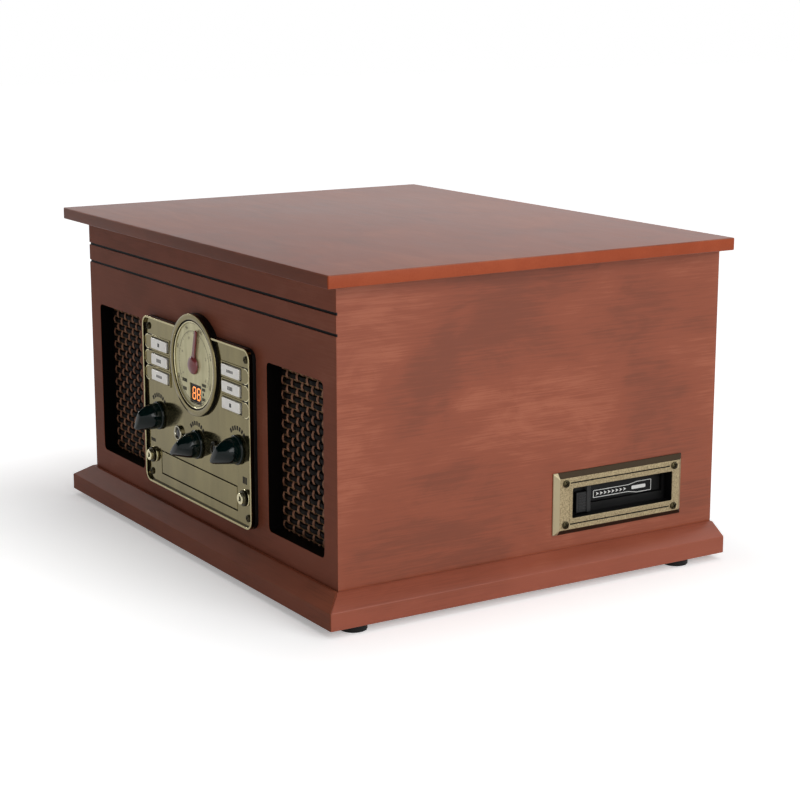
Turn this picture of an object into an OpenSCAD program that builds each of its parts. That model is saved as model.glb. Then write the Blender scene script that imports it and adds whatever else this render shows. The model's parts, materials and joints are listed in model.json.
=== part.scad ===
// Stereo music centre: a wooden cabinet with a record deck under its lid, a front panel
// with dial, buttons, knobs and disc drawer, two speakers, and a cassette slot on the right.
// X points right, Y back and Z up, in millimetres. The feet stand on z = 0.

/* [Cabinet] */
// Width over the two side panels
body_w = 398; // [396:1:430]
// Depth from the front board's face to the back panel's outer face
body_d = 323; // [323:1:350]
// Height from the cabinet's underside to the lid's underside
body_h = 227; // [225:1:250]
// Thickness of the front board and the side panels
panel_t = 12; // [10:0.5:12.5]
// Thickness of the back panel
back_t = 5; // [3:0.5:6]
// Thickness of the bottom board
bottom_t = 9; // [6:0.5:12]
// Height of each groove across the front board
groove_w = 1.8; // [1:0.1:3]
// Depth of the grooves
groove_d = 1; // [0.6:0.1:3]
// Upper groove's centre below the lid
groove_drop = 19.4; // [15:0.1:20]
// Distance between the two grooves
groove_pitch = 14; // [8:0.1:16]
// Thickness of the corner blocks and deck rails
block_t = 14; // [10:0.5:18]

/* [Lid] */
// Thickness of the lid board
lid_t = 9; // [8:0.5:14]
// How far the lid stands out over the front
lid_front = 15; // [8:0.5:20]
// How far the lid and the plinth stand out at each side
lid_side = 16; // [14:0.5:20]

/* [Plinth and feet] */
// Height of the plinth's upright band
band_h = 12.6; // [8:0.1:16]
// Height of the whole plinth
plinth_h = 21.2; // [18:0.1:26]
// Width of the flat ledge on top of the plinth
plinth_ledge = 3; // [1:0.1:5]
// Height of a foot
foot_h = 5; // [3:0.5:10]
// Diameter of a foot
foot_dia = 19; // [14:0.5:22]
// A foot's centre from the plinth's outer side
foot_side = 11.5; // [11:0.1:16]
// The front feet's centres from the plinth's front
foot_front = 24; // [16:0.5:40]
// The back feet's centres from the back panel
foot_back = 37; // [16:0.5:60]

/* [Speakers] */
// Wood between the panel's edge and a grille opening
grille_in = 14.9; // [10:0.1:20]
// Lower edge of the grille openings above the cabinet's underside
grille_low = 39.2; // [34:0.1:50]
// Gap between a speaker's board and the side panel
board_gap = 0.7; // [0.4:0.1:3]
// Gap between a speaker's board and the deck
deck_gap = 5.8; // [4:0.1:20]
// Corner radius of a grille opening
grille_r = 4; // [2:0.5:8]
// How far the grille and its board reach past the opening on each side
grille_lap = 5; // [3:0.5:5]
// Thickness of the woven grille
weave_t = 1.5; // [1:0.1:2]
// Thickness of the board that carries the grille and the speaker
baffle_t = 6; // [4:0.5:9]
// Speaker's rim from the sides of its board
speaker_in = 6.2; // [4:0.1:14]
// Depth of the speaker behind its board
speaker_d = 36; // [30:1:48]

/* [Control panel] */
// Width of the panel
face_w = 176; // [172:0.5:180]
// Height of the panel
face_h = 130.8; // [128:0.1:136]
// Height of the panel's centre above the cabinet's underside
face_up = 100.7; // [96:0.1:104]
// Corner radius of the panel
face_r = 8; // [4:0.5:12]
// Thickness of the black housing in front of the front board
housing_t = 2.55; // [2:0.05:4]
// Thickness of the golden face plate
face_t = 1.2; // [1:0.1:2]
// Height of the rim around the face plate
rim_h = 2.1; // [1:0.1:3]
// Width of the rim
rim_w = 1.5; // [1:0.1:3]
// Lap of the housing over the edge of its cut-out
housing_lap = 6; // [3:0.5:10]
// Wall of the housing's skirt
skirt_t = 2; // [1.5:0.1:3]
// Centres of the corner screws from the panel's edges
screw_in = 8; // [6:0.5:10]
// Radius of a screw head
screw_r = 2.7; // [2:0.1:3.5]

/* [Dial] */
// Centre of the dial below the panel's upper edge
dial_drop = 25.1; // [24:0.1:28]
// Outer radius of the dial's ring
dial_r = 38; // [36:0.1:40]
// Width of the ring
ring_w = 5; // [4:0.1:7]
// How far the ring stands out from the front board
ring_out = 6.6; // [6:0.1:9]
// Depth of the dial's face below the ring's front
dial_sink = 1.6; // [1:0.1:2.5]
// Length of the pointer from its axis
pointer_l = 25; // [20:0.5:28]
// Radius of the pointer's hub
hub_r = 7; // [5:0.1:9]
// Pointer's turn from upright, clockwise
pointer_rest = 13.3; // [-90:0.1:90]
// Gap between the pointer's cord drum and the housing's skirt
drum_gap = 2.8; // [2.5:0.1:6]
// Radius of the tuning shaft's pulley
tuner_r = 8; // [5:0.5:10]
// Width of the digit window
digits_w = 18.7; // [16:0.1:22]
// Height of the digit window
digits_h = 14.5; // [12:0.1:15]
// Digit window's centre to the right of the dial's centre
digits_x = 1.5; // [-4:0.1:4]
// Digit window's lower edge above the ring's inner edge
digits_low = 4.25; // [3.5:0.05:5.5]

/* [Buttons and knobs] */
// Gap between the dial's ring and the buttons beside it
button_gap = 6.7; // [5:0.1:10]
// Buttons' outer ends from the panel's edge
button_side = 14.7; // [12:0.1:18]
// Height of a push button
button_h = 8.2; // [6:0.1:9]
// Top buttons' centres below the panel's upper edge
button_drop = 19.9; // [18:0.1:23]
// Distance between the rows of buttons
button_pitch = 12.2; // [12:0.1:14]
// How far a button stands out of its pad
button_out = 1.5; // [1.2:0.1:3]
// Travel of a button
button_go = 1; // [0.5:0.1:1]
// Height of the pads around the buttons
pad_h = 11.5; // [10:0.1:11.8]
// How far a pad stands up from the face plate
pad_out = 0.8; // [0.4:0.1:1.5]
// Length of a knob
knob_l = 18; // [14:0.5:24]
// Radius of a knob's skirt
knob_r = 10.5; // [9:0.5:13]
// Height of a knob's skirt
knob_skirt = 4; // [3:0.5:6]
// Reach of a knob's beak from its axis
beak_l = 12.5; // [10:0.5:14]
// Turn of the volume knob's beak from upright, clockwise
volume_turn = 215; // [0:5:355]
// Turn of the function knob's beak from upright, clockwise
function_turn = 235; // [0:5:355]
// Turn of the tuning knob's beak from upright, clockwise
tuning_turn = 225; // [0:5:355]
// Radius of a knob's shaft
shaft_r = 3; // [2.5:0.1:4]
// Outer knobs' centres from the panel's edges
knob_in = 23; // [20:0.5:26]
// Outer knobs' centres above the panel's lower edge
knob_up = 55.2; // [50:0.1:58]
// Middle knob's centre below the middle between the drawer and the dial
mid_knob_drop = 2.2; // [0:0.1:4]
// Sensor's and lamp's centres from the outer knobs' centres
lamp_in = 35; // [30:0.1:38]
// Sensor's and lamp's centres above the panel's lower edge
lamp_up = 48.4; // [45:0.1:53]
// Radius of the sensor's and the lamp's rings
lamp_r = 6; // [4:0.1:7]
// Sockets' centres from the panel's edges
jack_in = 12; // [11:0.1:13]
// Sockets' centres above the panel's lower edge
jack_up = 22.2; // [20:0.1:25]
// Radius of a socket's nut
jack_r = 5.75; // [5:0.05:6.5]
// How far a socket stands out of the face plate
jack_out = 5; // [3:0.1:6]
// Radius of a socket's bore, for a 3.5 mm plug
jack_bore = 1.8; // [1.75:0.01:1.9]
// Length of a socket's bore
jack_l = 15; // [14:0.1:17]

/* [Disc drawer] */
// Drawer's ends from the panel's edges
drawer_side = 25.5; // [23.5:0.1:26]
// Height of the drawer's front
drawer_h = 17; // [16:0.1:20]
// Drawer's centre above the panel's lower edge
drawer_up = 18.7; // [16:0.1:20]
// Gap around the drawer's front
drawer_gap = 0.9; // [0.5:0.1:1.5]
// Rim of the tray beside the disc
disc_rim = 2; // [1.5:0.1:10]
// Travel of the drawer
drawer_go = 130; // [110:1:130]
// Thickness of the tray
tray_t = 5.5; // [4:0.1:6]
// Gear teeth on the tray's drive gear
gear_teeth = 24; // [20:1:28]
// Module of the rack and gear
gear_m = 1.5; // [1.2:0.1:1.6]

/* [Cassette slot] */
// Width of the bezel along the side
bezel_w = 116.5; // [114:0.5:120]
// Height of the bezel
bezel_h = 45.5; // [43:0.5:50]
// How far the bezel stands out of the side panel
bezel_out = 4; // [3:0.1:6]
// Width of the bezel's bevel
bezel_bevel = 4; // [2:0.1:5]
// Bezel's centre in front of the back panel's outer face
bezel_back = 89.25; // [80:0.05:95]
// Bezel's centre above the cabinet's underside
bezel_up = 54.65; // [50:0.05:60]
// Height of the opening in the bezel
slot_h = 22; // [20:0.5:26]
// Opening's centre behind the bezel's centre
slot_back = 2.25; // [0:0.05:4]
// Depth of the black cassette front behind the side panel's outer face
slot_deep = 5; // [4:0.5:8]
// Mouth's end from the opening's end
mouth_in = 2.5; // [2:0.1:4]
// Width of the cassette's mouth
mouth_w = 66; // [65:0.5:68]
// Height of the cassette's mouth
mouth_h = 14; // [13:0.5:16]
// Depth that a cassette goes in
cassette_l = 104; // [102:1:106]
// Eject button's end from the opening's end
eject_in = 8; // [6:0.1:10]
// Gap between the eject button and the cassette's mouth
eject_gap = 2; // [1.5:0.1:4]
// Width of the eject button
eject_w = 12.5; // [10:0.5:14]
// Height of the eject button
eject_h = 15; // [10:0.5:17]
// Travel of the eject button
eject_go = 3; // [2:0.5:3.5]

/* [Record deck] */
// Top of the deck below the lid
deck_drop = 50; // [48:0.5:54]
// Thickness of the deck
deck_t = 6; // [4:0.5:9]
// Diameter of the largest record
record_dia = 301.6; // [250:0.1:301.6]
// Diameter of the platter
platter_dia = 190; // [150:1:200]
// Thickness of the platter
platter_t = 6; // [4:0.5:8]
// Height of the platter's underside above the deck
platter_up = 9; // [8:0.5:10]
// Radius of the belt ring under the platter
ring_r = 62; // [50:1:70]
// Radius of the motor's pulley
pulley_r = 5; // [4:0.1:7]
// Motor's axis from the spindle
motor_x = 80; // [78:1:84]
// Radius of the motor
motor_r = 16; // [12:0.5:18]
// Radius of the spindle
spindle_r = 3.6; // [3.5:0.05:3.65]
// Height of the spindle above the mat
spindle_h = 11; // [8:0.5:14]
// Thickness of the mat
mat_t = 2; // [1:0.5:3]
// Tonearm's length from its axis to the stylus
arm_l = 215; // [212:1:216]
// Radius of the tonearm's tube
arm_r = 4; // [3:0.1:5]
// Height of the tonearm's axis above the deck
arm_up = 30; // [28:0.5:32]
// Tonearm's axis from the right side panel's inner face
arm_side = 32; // [30:0.5:36]
// Stylus behind the front board's inner face
arm_front = 18; // [14:0.5:24]
// Radius of the tonearm's turret
turret_r = 15; // [13:0.5:18]

/* [Hinges and stay] */
// Radius of a hinge's knuckles
knuckle_r = 3; // [2.5:0.1:4]
// Radius of the hinge pin
pin_r = 1.2; // [1:0.1:1.5]
// Thickness of a hinge leaf
leaf_t = 1.2; // [0.8:0.1:1.5]
// Width of a hinge
hinge_w = 40; // [30:1:60]
// Hinges' centres from the middle
hinge_x = 120; // [80:1:150]
// Radius of the quadrant stay's slot about the hinge axis
stay_r = 85; // [80:1:90]
// Gap between the far end of the stay and the back panel, with the lid shut
stay_gap = 3.8; // [1:0.1:6]
// Width of the stay's metal on each side of its slot
stay_rim = 2.4; // [2:0.1:3]
// Thickness of the stay
stay_t = 2; // [1.5:0.1:2.5]
// Radius of the fixed pin that runs in the stay's slot
stay_pin_r = 3; // [2.5:0.1:3.2]
// Lid's full opening angle
lid_open = 65; // [50:1:65]

/* [Fits] */
// Radial clearance of running shafts and pins
run_gap = 0.05; // [0.02:0.01:0.1]
// Clearance between separate pieces that are dropped in
fit_gap = 0.3; // [0.2:0.05:0.5]
// Clearance around pieces that slide or swing
move_gap = 0.5; // [0.4:0.05:0.8]

/* [Hidden] */
$fn = 48;
half_w = body_w / 2;
in_x = half_w - panel_t;
base_z = foot_h;
lid_z = base_z + body_h;
front_out = housing_t + face_t;
knob_out = front_out + fit_gap + knob_l;
socket_out = 9;
y_front = (knob_out - socket_out - body_d) / 2;
y_in = y_front + panel_t;
y_back = y_front + body_d;
y_back_in = y_back - back_t;
lid_w = body_w + 2 * lid_side;
bottom_top = base_z + bottom_t;

deck_z = lid_z - deck_drop;
grille_x0 = face_w / 2 + grille_in;
grille_x1 = in_x - board_gap - grille_lap;
grille_z0 = base_z + grille_low;
grille_z1 = deck_z - deck_t - deck_gap - grille_lap;
grille_x = (grille_x0 + grille_x1) / 2;
grille_z = (grille_z0 + grille_z1) / 2;
grille_w = grille_x1 - grille_x0;
grille_h = grille_z1 - grille_z0;
board_w = grille_w + 2 * grille_lap;
board_h = grille_h + 2 * grille_lap;
speaker_dia = board_w - 2 * speaker_in;
weave_y = y_in;
board_y = weave_y + weave_t;
speaker_y = board_y + baffle_t;

face_z = base_z + face_up;
face_top = face_z + face_h / 2;
face_low = face_z - face_h / 2;
dial_z = face_top - dial_drop;
face_y = y_front - front_out;
rim_y = face_y - rim_h;
cut_w = face_w - 2 * housing_lap;
cut_h = face_h - 2 * housing_lap;
skirt_w = cut_w - 2 * fit_gap;
skirt_h = cut_h - 2 * fit_gap;
skirt_d = panel_t + 2;
pad_y = face_y - pad_out;
button_z = [for (i = [0:2]) face_top - button_drop - i * button_pitch];
pad_x0 = face_w / 2 - rim_w + 0.5;
pad_x1 = dial_r + button_gap - 2;
button_w = face_w / 2 - button_side - dial_r - button_gap;
button_x = dial_r + button_gap + button_w / 2;
knob_x = face_w / 2 - knob_in;
lamp_x = knob_x - lamp_in;
jack_x = face_w / 2 - jack_in;
knob_z = face_low + knob_up;
lamp_z = face_low + lamp_up;
jack_z = face_low + jack_up;
jack_pipe = 4.2;
drawer_z = face_low + drawer_up;
drawer_top = drawer_z + drawer_h / 2 + drawer_gap;
mid_knob_z = (drawer_top + dial_z - dial_r) / 2 - mid_knob_drop;
ring_front = y_front - ring_out;
dial_y = ring_front + dial_sink;
pointer_gap = 0.5;
pointer_t = 1.4;
pointer_shaft_r = 2;
hub_out = 3.6;
drum_r = dial_drop - housing_lap - fit_gap - skirt_t - drum_gap;
drum_y = y_front + 4;
drum_t = 5;
window_z = dial_z - dial_r + ring_w + digits_low + digits_h / 2;

drawer_w = face_w - 2 * drawer_side;
tray_w = drawer_w - 1;
disc_dia = tray_w - 2 * disc_rim;
tray_z = drawer_z - 2;
tray_back = y_front + drawer_go + 40;
gear_r = gear_m * gear_teeth / 2;
gear_pin_r = 2.5;
tooth_gap = 0.3;
rack_x = tray_w / 2 - 4;
rack_h = 6;
gear_y = y_front + skirt_d + 20;
chassis_w = tray_w + 2 * move_gap + 5;
chassis_z = tray_z - rack_h - 5;
chassis_top = tray_z + tray_t + 9;
chassis_y0 = y_front + skirt_d;
chassis_y1 = tray_back + 14;

bezel_cy = y_back - bezel_back;
bezel_cz = base_z + bezel_up;
slot_w = eject_in + eject_w + eject_gap + mouth_w + mouth_in;
slot_cy = bezel_cy + slot_back;
slot_x = half_w - slot_deep;
neck_t = 2;
mouth_cy = slot_cy + slot_w / 2 - mouth_w / 2 - mouth_in;
mouth_cz = bezel_cz + slot_h / 2 - mouth_h / 2 - 2;
eject_cy = slot_cy - slot_w / 2 + eject_in + eject_w / 2;
eject_cz = bezel_cz - slot_h / 2 + 1 + eject_h / 2;
flap_t = 1.5;
flap_in = 2;
flap_pin_r = 1;
flap_x = slot_x - flap_in - flap_t / 2;
flap_z = mouth_cz + mouth_h / 2 - 2;
hole_gap = 0.4;
bezel_screw_y = [bezel_cy - bezel_w / 2 + 9, bezel_cy + bezel_w / 2 - 9];
bezel_screw_z = [bezel_cz - bezel_h / 2 + 7.6, bezel_cz + bezel_h / 2 - 7.6];

record_gap = 6;
spindle_x = -in_x + record_gap + record_dia / 2;
spindle_y = (y_in + y_back_in) / 2;
platter_z = deck_z + platter_up;
mat_z = platter_z + platter_t;
record_z = mat_z + mat_t;
arm_x = in_x - arm_side;
arm_y = y_in + arm_front + arm_l;
arm_z = deck_z + arm_up;
head_w = 14;
shell_l = 34;
cue_y = arm_y - 38;
cue_arm = 4.5;
cue_shaft_r = 2;
cue_z = arm_z - arm_r - cue_shaft_r - 0.5;
speed_x = arm_x;
speed_y = y_in + 40;
motor_turn = 140;
motor_cx = spindle_x + motor_x * cos(motor_turn);
motor_cy = spindle_y + motor_x * sin(motor_turn);
motor_shaft_r = 1;
motor_h = 22;
bearing_r = 5;
selector_r = 3;
cross_pin_r = 1.5;
belt_gap = 0.15;
belt_t = 0.8;
belt_h = platter_up - 5;

socket_w = 84;
socket_h = 34;
socket_cx = 120;
socket_cz = base_z + 48;
socket_x = [socket_cx + 10, socket_cx + 28];
socket_r = 4.15;
socket_bore = 1.7;
gland_x = socket_cx - 22;
knuckle_gap = 0.4;

board_side = 24;
board_front = 60;
board_back = 40;
board_up = 8;
board_thick = 1.6;
post_r = 3;
sink_t = 12;
sink_h = 24;
can_r = 7;
can_h = 16;
can_pitch = 26;
core_side = 26;
core_front = 100;
core_w = 56;
core_d = 32;
core_h = 46;
core_leg = 11;
coil_out = 9;

axis_y = y_back + knuckle_r + fit_gap;
stay_x = -in_x + block_t + 2;
slot_half = stay_pin_r + 0.15;
stay_half = slot_half + stay_rim;
stay_far = acos((axis_y - y_back_in + stay_half + stay_gap) / stay_r);
stay_low = stay_far - lid_open;
stay_slot_far = sqrt(pow(stay_r + stay_half, 2) - pow(deck_drop, 2));
stay_slot_near = sqrt(pow(stay_r - stay_half, 2) - pow(deck_drop + deck_t, 2));
pin_y = axis_y - stay_r * cos(stay_low);
pin_z = lid_z - stay_r * sin(stay_low);

// Point at radius r and angle a
function polar(r, a) = r * [cos(a), sin(a)];

// Box between two corners
module block(a, b) {
    translate(a) cube(b - a);
}

// Rectangle with round corners, centred
module round_rect(w, h, r) {
    square([w - 2 * r, h], center = true);
    square([w, h - 2 * r], center = true);
    for (x = [-1, 1], z = [-1, 1])
        translate([x * (w / 2 - r), z * (h / 2 - r)]) circle(r);
}

// Flat shape drawn as seen from the front, from y0 back to y1
module from_front(y0, y1) {
    translate([0, y1, 0]) rotate([90, 0, 0]) linear_extrude(y1 - y0) children();
}

// Flat shape drawn in Y and Z, from x0 to x1
module from_side(x0, x1) {
    translate([x0, 0, 0]) rotate([90, 0, 90]) linear_extrude(x1 - x0) children();
}

// Flat shape drawn in X and Y, from z0 up to z1
module from_above(z0, z1) {
    translate([0, 0, z0]) linear_extrude(z1 - z0) children();
}

// Round bar along Y
module bar_y(x, z, r, y0, y1) {
    translate([x, y1, z]) rotate([90, 0, 0]) cylinder(r = r, h = y1 - y0);
}

// Round bar along X
module bar_x(y, z, r, x0, x1) {
    translate([x0, y, z]) rotate([0, 90, 0]) cylinder(r = r, h = x1 - x0);
}

// The grooves that run across the front and nick the corners
module front_grooves() {
    for (i = [0, 1]) {
        z = lid_z - groove_drop - i * groove_pitch;
        block([-half_w - 1, y_front - 1, z - groove_w / 2],
            [half_w + 1, y_front + groove_d, z + groove_w / 2]);
    }
}

// Front board with mitred ends, two grille openings and the panel's cut-out
module front_board() color("#6e3a2a") difference() {
    from_above(base_z, lid_z) polygon([[-half_w, y_front], [half_w, y_front], [in_x, y_in], [-in_x, y_in]]);
    front_grooves();
    from_front(y_front - 1, y_in + 1) {
        for (s = [-1, 1]) translate([s * grille_x, grille_z]) round_rect(grille_w, grille_h, grille_r);
        translate([0, face_z]) square([cut_w, cut_h], center = true);
    }
}

// Plan of the right side panel, mitred at the front
module side_plan() {
    polygon([[half_w, y_front], [half_w, y_back], [in_x, y_back], [in_x, y_in]]);
}

module left_side_panel() color("#8a4432") difference() {
    from_above(base_z, lid_z) mirror([1, 0]) side_plan();
    front_grooves();
}

module right_side_panel() color("#8a4432") difference() {
    from_above(base_z, lid_z) side_plan();
    front_grooves();
    from_side(in_x - 1, half_w + 1) translate([slot_cy, bezel_cz]) neck_plan(fit_gap);
}

// Outline of the bezel's neck, larger by g
module neck_plan(g) {
    square([slot_w + 2 * neck_t + 2 * g, slot_h + 2 * neck_t + 2 * g], center = true);
}

// Back panel with vents and the hole behind the sockets
module back_panel() color("#3b2a22") difference() {
    block([-in_x, y_back_in, bottom_top], [in_x, y_back, lid_z]);
    for (i = [0:7])
        block([-80 + i * 10, y_back_in - 1, bottom_top + 36], [-75 + i * 10, y_back + 1, bottom_top + 76]);
    from_front(y_back_in - 1, y_back + 1)
        translate([socket_cx, socket_cz]) square([socket_w - 8, socket_h - 8], center = true);
}

module bottom_board() color("#3b2a22") difference() {
    block([-in_x, y_in, base_z], [in_x, y_back, bottom_top]);
    for (i = [0:5])
        block([-90 + i * 12, y_back - 120, base_z - 1], [-84 + i * 12, y_back - 80, bottom_top + 1]);
}

// Section of the plinth moulding, standing out by w
module plinth_section(w) {
    polygon([[0, 0], [w, 0], [w, band_h], [plinth_ledge, plinth_h], [0, plinth_h]]);
}

// Wedge in plan that keeps one side of the mitre at the front corner
module mitre_plan() {
    far = body_d + 2 * lid_side;
    polygon([[half_w, y_front], [half_w + 4 * lid_side, y_front - 4 * lid_front],
        [half_w + 4 * lid_side, y_front + far], [half_w, y_front + far]]);
}

module plinth_right() color("#8a4432") intersection() {
    translate([half_w, y_back, base_z]) rotate([90, 0, 0])
        linear_extrude(body_d + lid_front) plinth_section(lid_side);
    from_above(base_z, base_z + plinth_h) mitre_plan();
}

module plinth_left() mirror([1, 0, 0]) plinth_right();

module plinth_front() color("#6e3a2a") difference() {
    translate([-half_w - lid_side, y_front, base_z]) rotate([90, 0, 90])
        mirror([1, 0]) linear_extrude(lid_w) plinth_section(lid_front);
    for (s = [0, 1]) mirror([s, 0, 0]) from_above(base_z - 1, base_z + plinth_h + 1) mitre_plan();
}

// Corner blocks on the bottom board and the rails that carry the deck
module corner_blocks() color("#c9a36c") {
    z1 = deck_z - deck_t;
    for (s = [-1, 1]) {
        x0 = s * in_x;
        x1 = s * (in_x - block_t);
        block([min(x0, x1), y_back_in - block_t, bottom_top], [max(x0, x1), y_back_in, z1]);
        block([min(x0, x1), speaker_y + fit_gap, z1 - block_t],
            [max(x0, x1), y_back_in - block_t - fit_gap, z1]);
    }
}

module rubber_feet() color("#141414")
    for (s = [-1, 1], y = [y_front - lid_front + foot_front, y_back - foot_back])
        translate([s * (half_w + lid_side - foot_side), y, 0]) cylinder(d = foot_dia, h = foot_h);

// Woven grille, pressed against the back of the front board
module grille_weave(s) color("#4a3326")
    from_front(weave_y, board_y)
        translate([s * grille_x, grille_z]) square([board_w, board_h], center = true);

module left_grille_weave() grille_weave(-1);
module right_grille_weave() grille_weave(1);

module speaker_boards() color("#c9a36c") for (s = [-1, 1])
    from_front(board_y, speaker_y) difference() {
        translate([s * grille_x, grille_z]) square([board_w, board_h], center = true);
        translate([s * grille_x, grille_z]) circle(speaker_dia / 2 - 5);
    }

// Speaker basket: flange, tapered frame and magnet
module speaker_baskets() color("#2a2c2e") for (s = [-1, 1])
    translate([s * grille_x, speaker_y, grille_z]) rotate([-90, 0, 0]) {
        difference() {
            cylinder(d = speaker_dia, h = 2);
            translate([0, 0, -1]) cylinder(r = speaker_dia / 2 - 5, h = 4);
        }
        difference() {
            translate([0, 0, 2]) cylinder(r1 = speaker_dia / 2 - 3, r2 = 20, h = speaker_d - 16);
            translate([0, 0, 1.9]) cylinder(r1 = speaker_dia / 2 - 5, r2 = 17, h = speaker_d - 17);
        }
        translate([0, 0, speaker_d - 14]) cylinder(r = 22, h = 14);
    }

// Paper cone with its dust cap
module speaker_cones() color("#1d1d1d") for (s = [-1, 1])
    translate([s * grille_x, speaker_y, grille_z]) rotate([-90, 0, 0]) rotate_extrude()
        polygon([[0, 8], [9, 9.5], [speaker_dia / 2 - 9, 0.3], [speaker_dia / 2 - 5.3, 0.3],
            [speaker_dia / 2 - 5.3, 1.5], [speaker_dia / 2 - 9, 1.5], [9, 11.5], [0, 11]]);

// Round-cornered outline of the whole panel
module face_plan() {
    translate([0, face_z]) round_rect(face_w, face_h, face_r);
}

// Outline of one button's pad, from the panel's rim to just inside the button
module pad_plan(s, z) {
    x0 = pad_x1;
    x1 = pad_x0 - pad_h / 2;
    translate([s * (x0 + x1) / 2, z]) square([x1 - x0, pad_h], center = true);
    translate([s * x1, z]) circle(d = pad_h);
}

// Holes through the panel, larger than what passes by the given clearances
module panel_holes(gap) {
    for (s = [-1, 1]) {
        for (z = button_z)
            translate([s * button_x, z]) square([button_w + 2 * gap, button_h + 2 * gap], center = true);
        translate([s * knob_x, knob_z]) circle(shaft_r + gap);
        translate([s * lamp_x, lamp_z]) circle(lamp_r - 1.5);
        translate([s * jack_x, jack_z]) circle(jack_pipe + fit_gap / 2);
    }
    translate([0, mid_knob_z]) circle(shaft_r + gap);
    drawer_hole();
}

// Outline of the hole that the drawer's front fills
module drawer_hole() {
    translate([0, drawer_z]) square([drawer_w + 2 * drawer_gap, drawer_h + 2 * drawer_gap], center = true);
}

// Black housing: a plate on the front board and a skirt through its cut-out
module panel_housing() color("#151515") difference() {
    union() {
        from_front(y_front - housing_t, y_front) {
            face_plan();
            translate([0, dial_z]) circle(dial_r);
        }
        from_front(y_front - housing_t, y_front + skirt_d) difference() {
            translate([0, face_z]) square([skirt_w, skirt_h], center = true);
            translate([0, face_z]) square([skirt_w - 2 * skirt_t, skirt_h - 2 * skirt_t], center = true);
        }
    }
    from_front(y_front - housing_t - 1, y_front + 1) {
        panel_holes(move_gap);
        translate([0, dial_z]) circle(pointer_shaft_r + run_gap);
        translate([digits_x, window_z]) square([digits_w - 4, digits_h - 4], center = true);
    }
    from_front(y_front - 1, y_front + skirt_d + 1) drawer_hole();
    for (s = [-1, 1]) bar_y(s * jack_x, jack_z, jack_pipe + fit_gap / 2, y_front - 4, y_front + skirt_d + 1);
}

// Golden face plate: a shallow tray with a raised rim and button pads
module panel_face() color("#9c8f5e") difference() {
    union() {
        from_front(face_y, y_front - housing_t) face_plan();
        from_front(rim_y, face_y) difference() {
            face_plan();
            translate([0, face_z]) round_rect(face_w - 2 * rim_w, face_h - 2 * rim_w, face_r - rim_w);
        }
        from_front(pad_y, face_y) for (s = [-1, 1], z = button_z) pad_plan(s, z);
    }
    from_front(rim_y - 1, y_front) {
        translate([0, dial_z]) circle(dial_r + fit_gap / 2);
        panel_holes(move_gap);
    }
}

// One domed screw head with a cross slot, facing -Y, standing on y0
module screw_head(x, y0, z) translate([x, y0, z]) rotate([90, 0, 0]) difference() {
    rotate_extrude() polygon([[0, 0], [screw_r, 0], [screw_r, 0.6], [screw_r * 0.75, 1.4], [0, 1.8]]);
    for (a = [0, 90]) rotate([0, 0, a]) translate([0, 0, 2]) cube([2.8, 0.7, 1.6], center = true);
}

// Screws at the panel's corners and around the cassette slot
module trim_screws() color("#6d6548") {
    for (s = [-1, 1], t = [-1, 1])
        screw_head(s * (face_w / 2 - screw_in), face_y, face_z + t * (face_h / 2 - screw_in));
    for (y = bezel_screw_y, z = bezel_screw_z)
        translate([half_w + bezel_out, y, z]) rotate([0, 0, 90]) screw_head(0, 0, 0);
}

module dial_ring() color("#b0a26c")
    from_front(ring_front, y_front - housing_t) translate([0, dial_z]) difference() {
        circle(dial_r);
        circle(dial_r - ring_w);
    }

// Dial face with its window and the pointer's hole
module dial_face() color("#d2c896")
    from_front(dial_y, y_front - housing_t) difference() {
        translate([0, dial_z]) circle(dial_r - ring_w - 0.05);
        translate([0, dial_z]) circle(pointer_shaft_r + 0.4);
        translate([digits_x, window_z]) square([digits_w, digits_h], center = true);
    }

// Two-digit display behind the dial's window
module digit_display() color("#d9642a")
    from_front(dial_y + 0.8, y_front - housing_t)
        translate([digits_x, window_z]) square([digits_w - 0.2, digits_h - 0.2], center = true);

// Pointer: tapering blade, domed hub, shaft and cord drum
module dial_pointer() color("#8a3a3c") translate([0, 0, dial_z]) rotate([0, pointer_rest, 0]) {
    y1 = dial_y - pointer_gap;
    from_front(y1 - pointer_t, y1) polygon([[-2.4, 0], [-1.6, pointer_l], [1.6, pointer_l], [2.4, 0]]);
    translate([0, y1, 0]) rotate([90, 0, 0])
        rotate_extrude() polygon([[0, 0], [hub_r, 0], [hub_r, 0.44 * hub_out], [0.8 * hub_r, 0.78 * hub_out],
            [0.45 * hub_r, 0.94 * hub_out], [0, hub_out]]);
    bar_y(0, 0, pointer_shaft_r, y1 - 1, drum_y + drum_t);
    cord_wheel(0, 0, drum_r);
}

// Points around two wheels of radii r1 at the origin and r2 at distance d, joined by tangents
function loop_points(r1, r2, d) = let (lean = acos((r1 - r2) / d))
    concat([for (i = [0:72]) polar(r1, lean + (360 - 2 * lean) * i / 72)],
        [for (i = [0:72]) [d, 0] + polar(r2, lean * (i / 36 - 1))]);

// Loop of cord or belt pulled tight around two wheels
module loop_plan(r1, r2, d) difference() {
    polygon(loop_points(r1 + belt_gap + belt_t, r2 + belt_gap + belt_t, d));
    polygon(loop_points(r1 + belt_gap, r2 + belt_gap, d));
}

// Cord from the pointer's drum to the tuning shaft's wheel
module dial_cord() color("#d8d2c0")
    translate([0, drum_y + 2.9, dial_z]) rotate([90, atan2(dial_z - knob_z, knob_x), 0])
        linear_extrude(belt_t) loop_plan(drum_r, tuner_r, norm([knob_x, dial_z - knob_z]));

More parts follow.
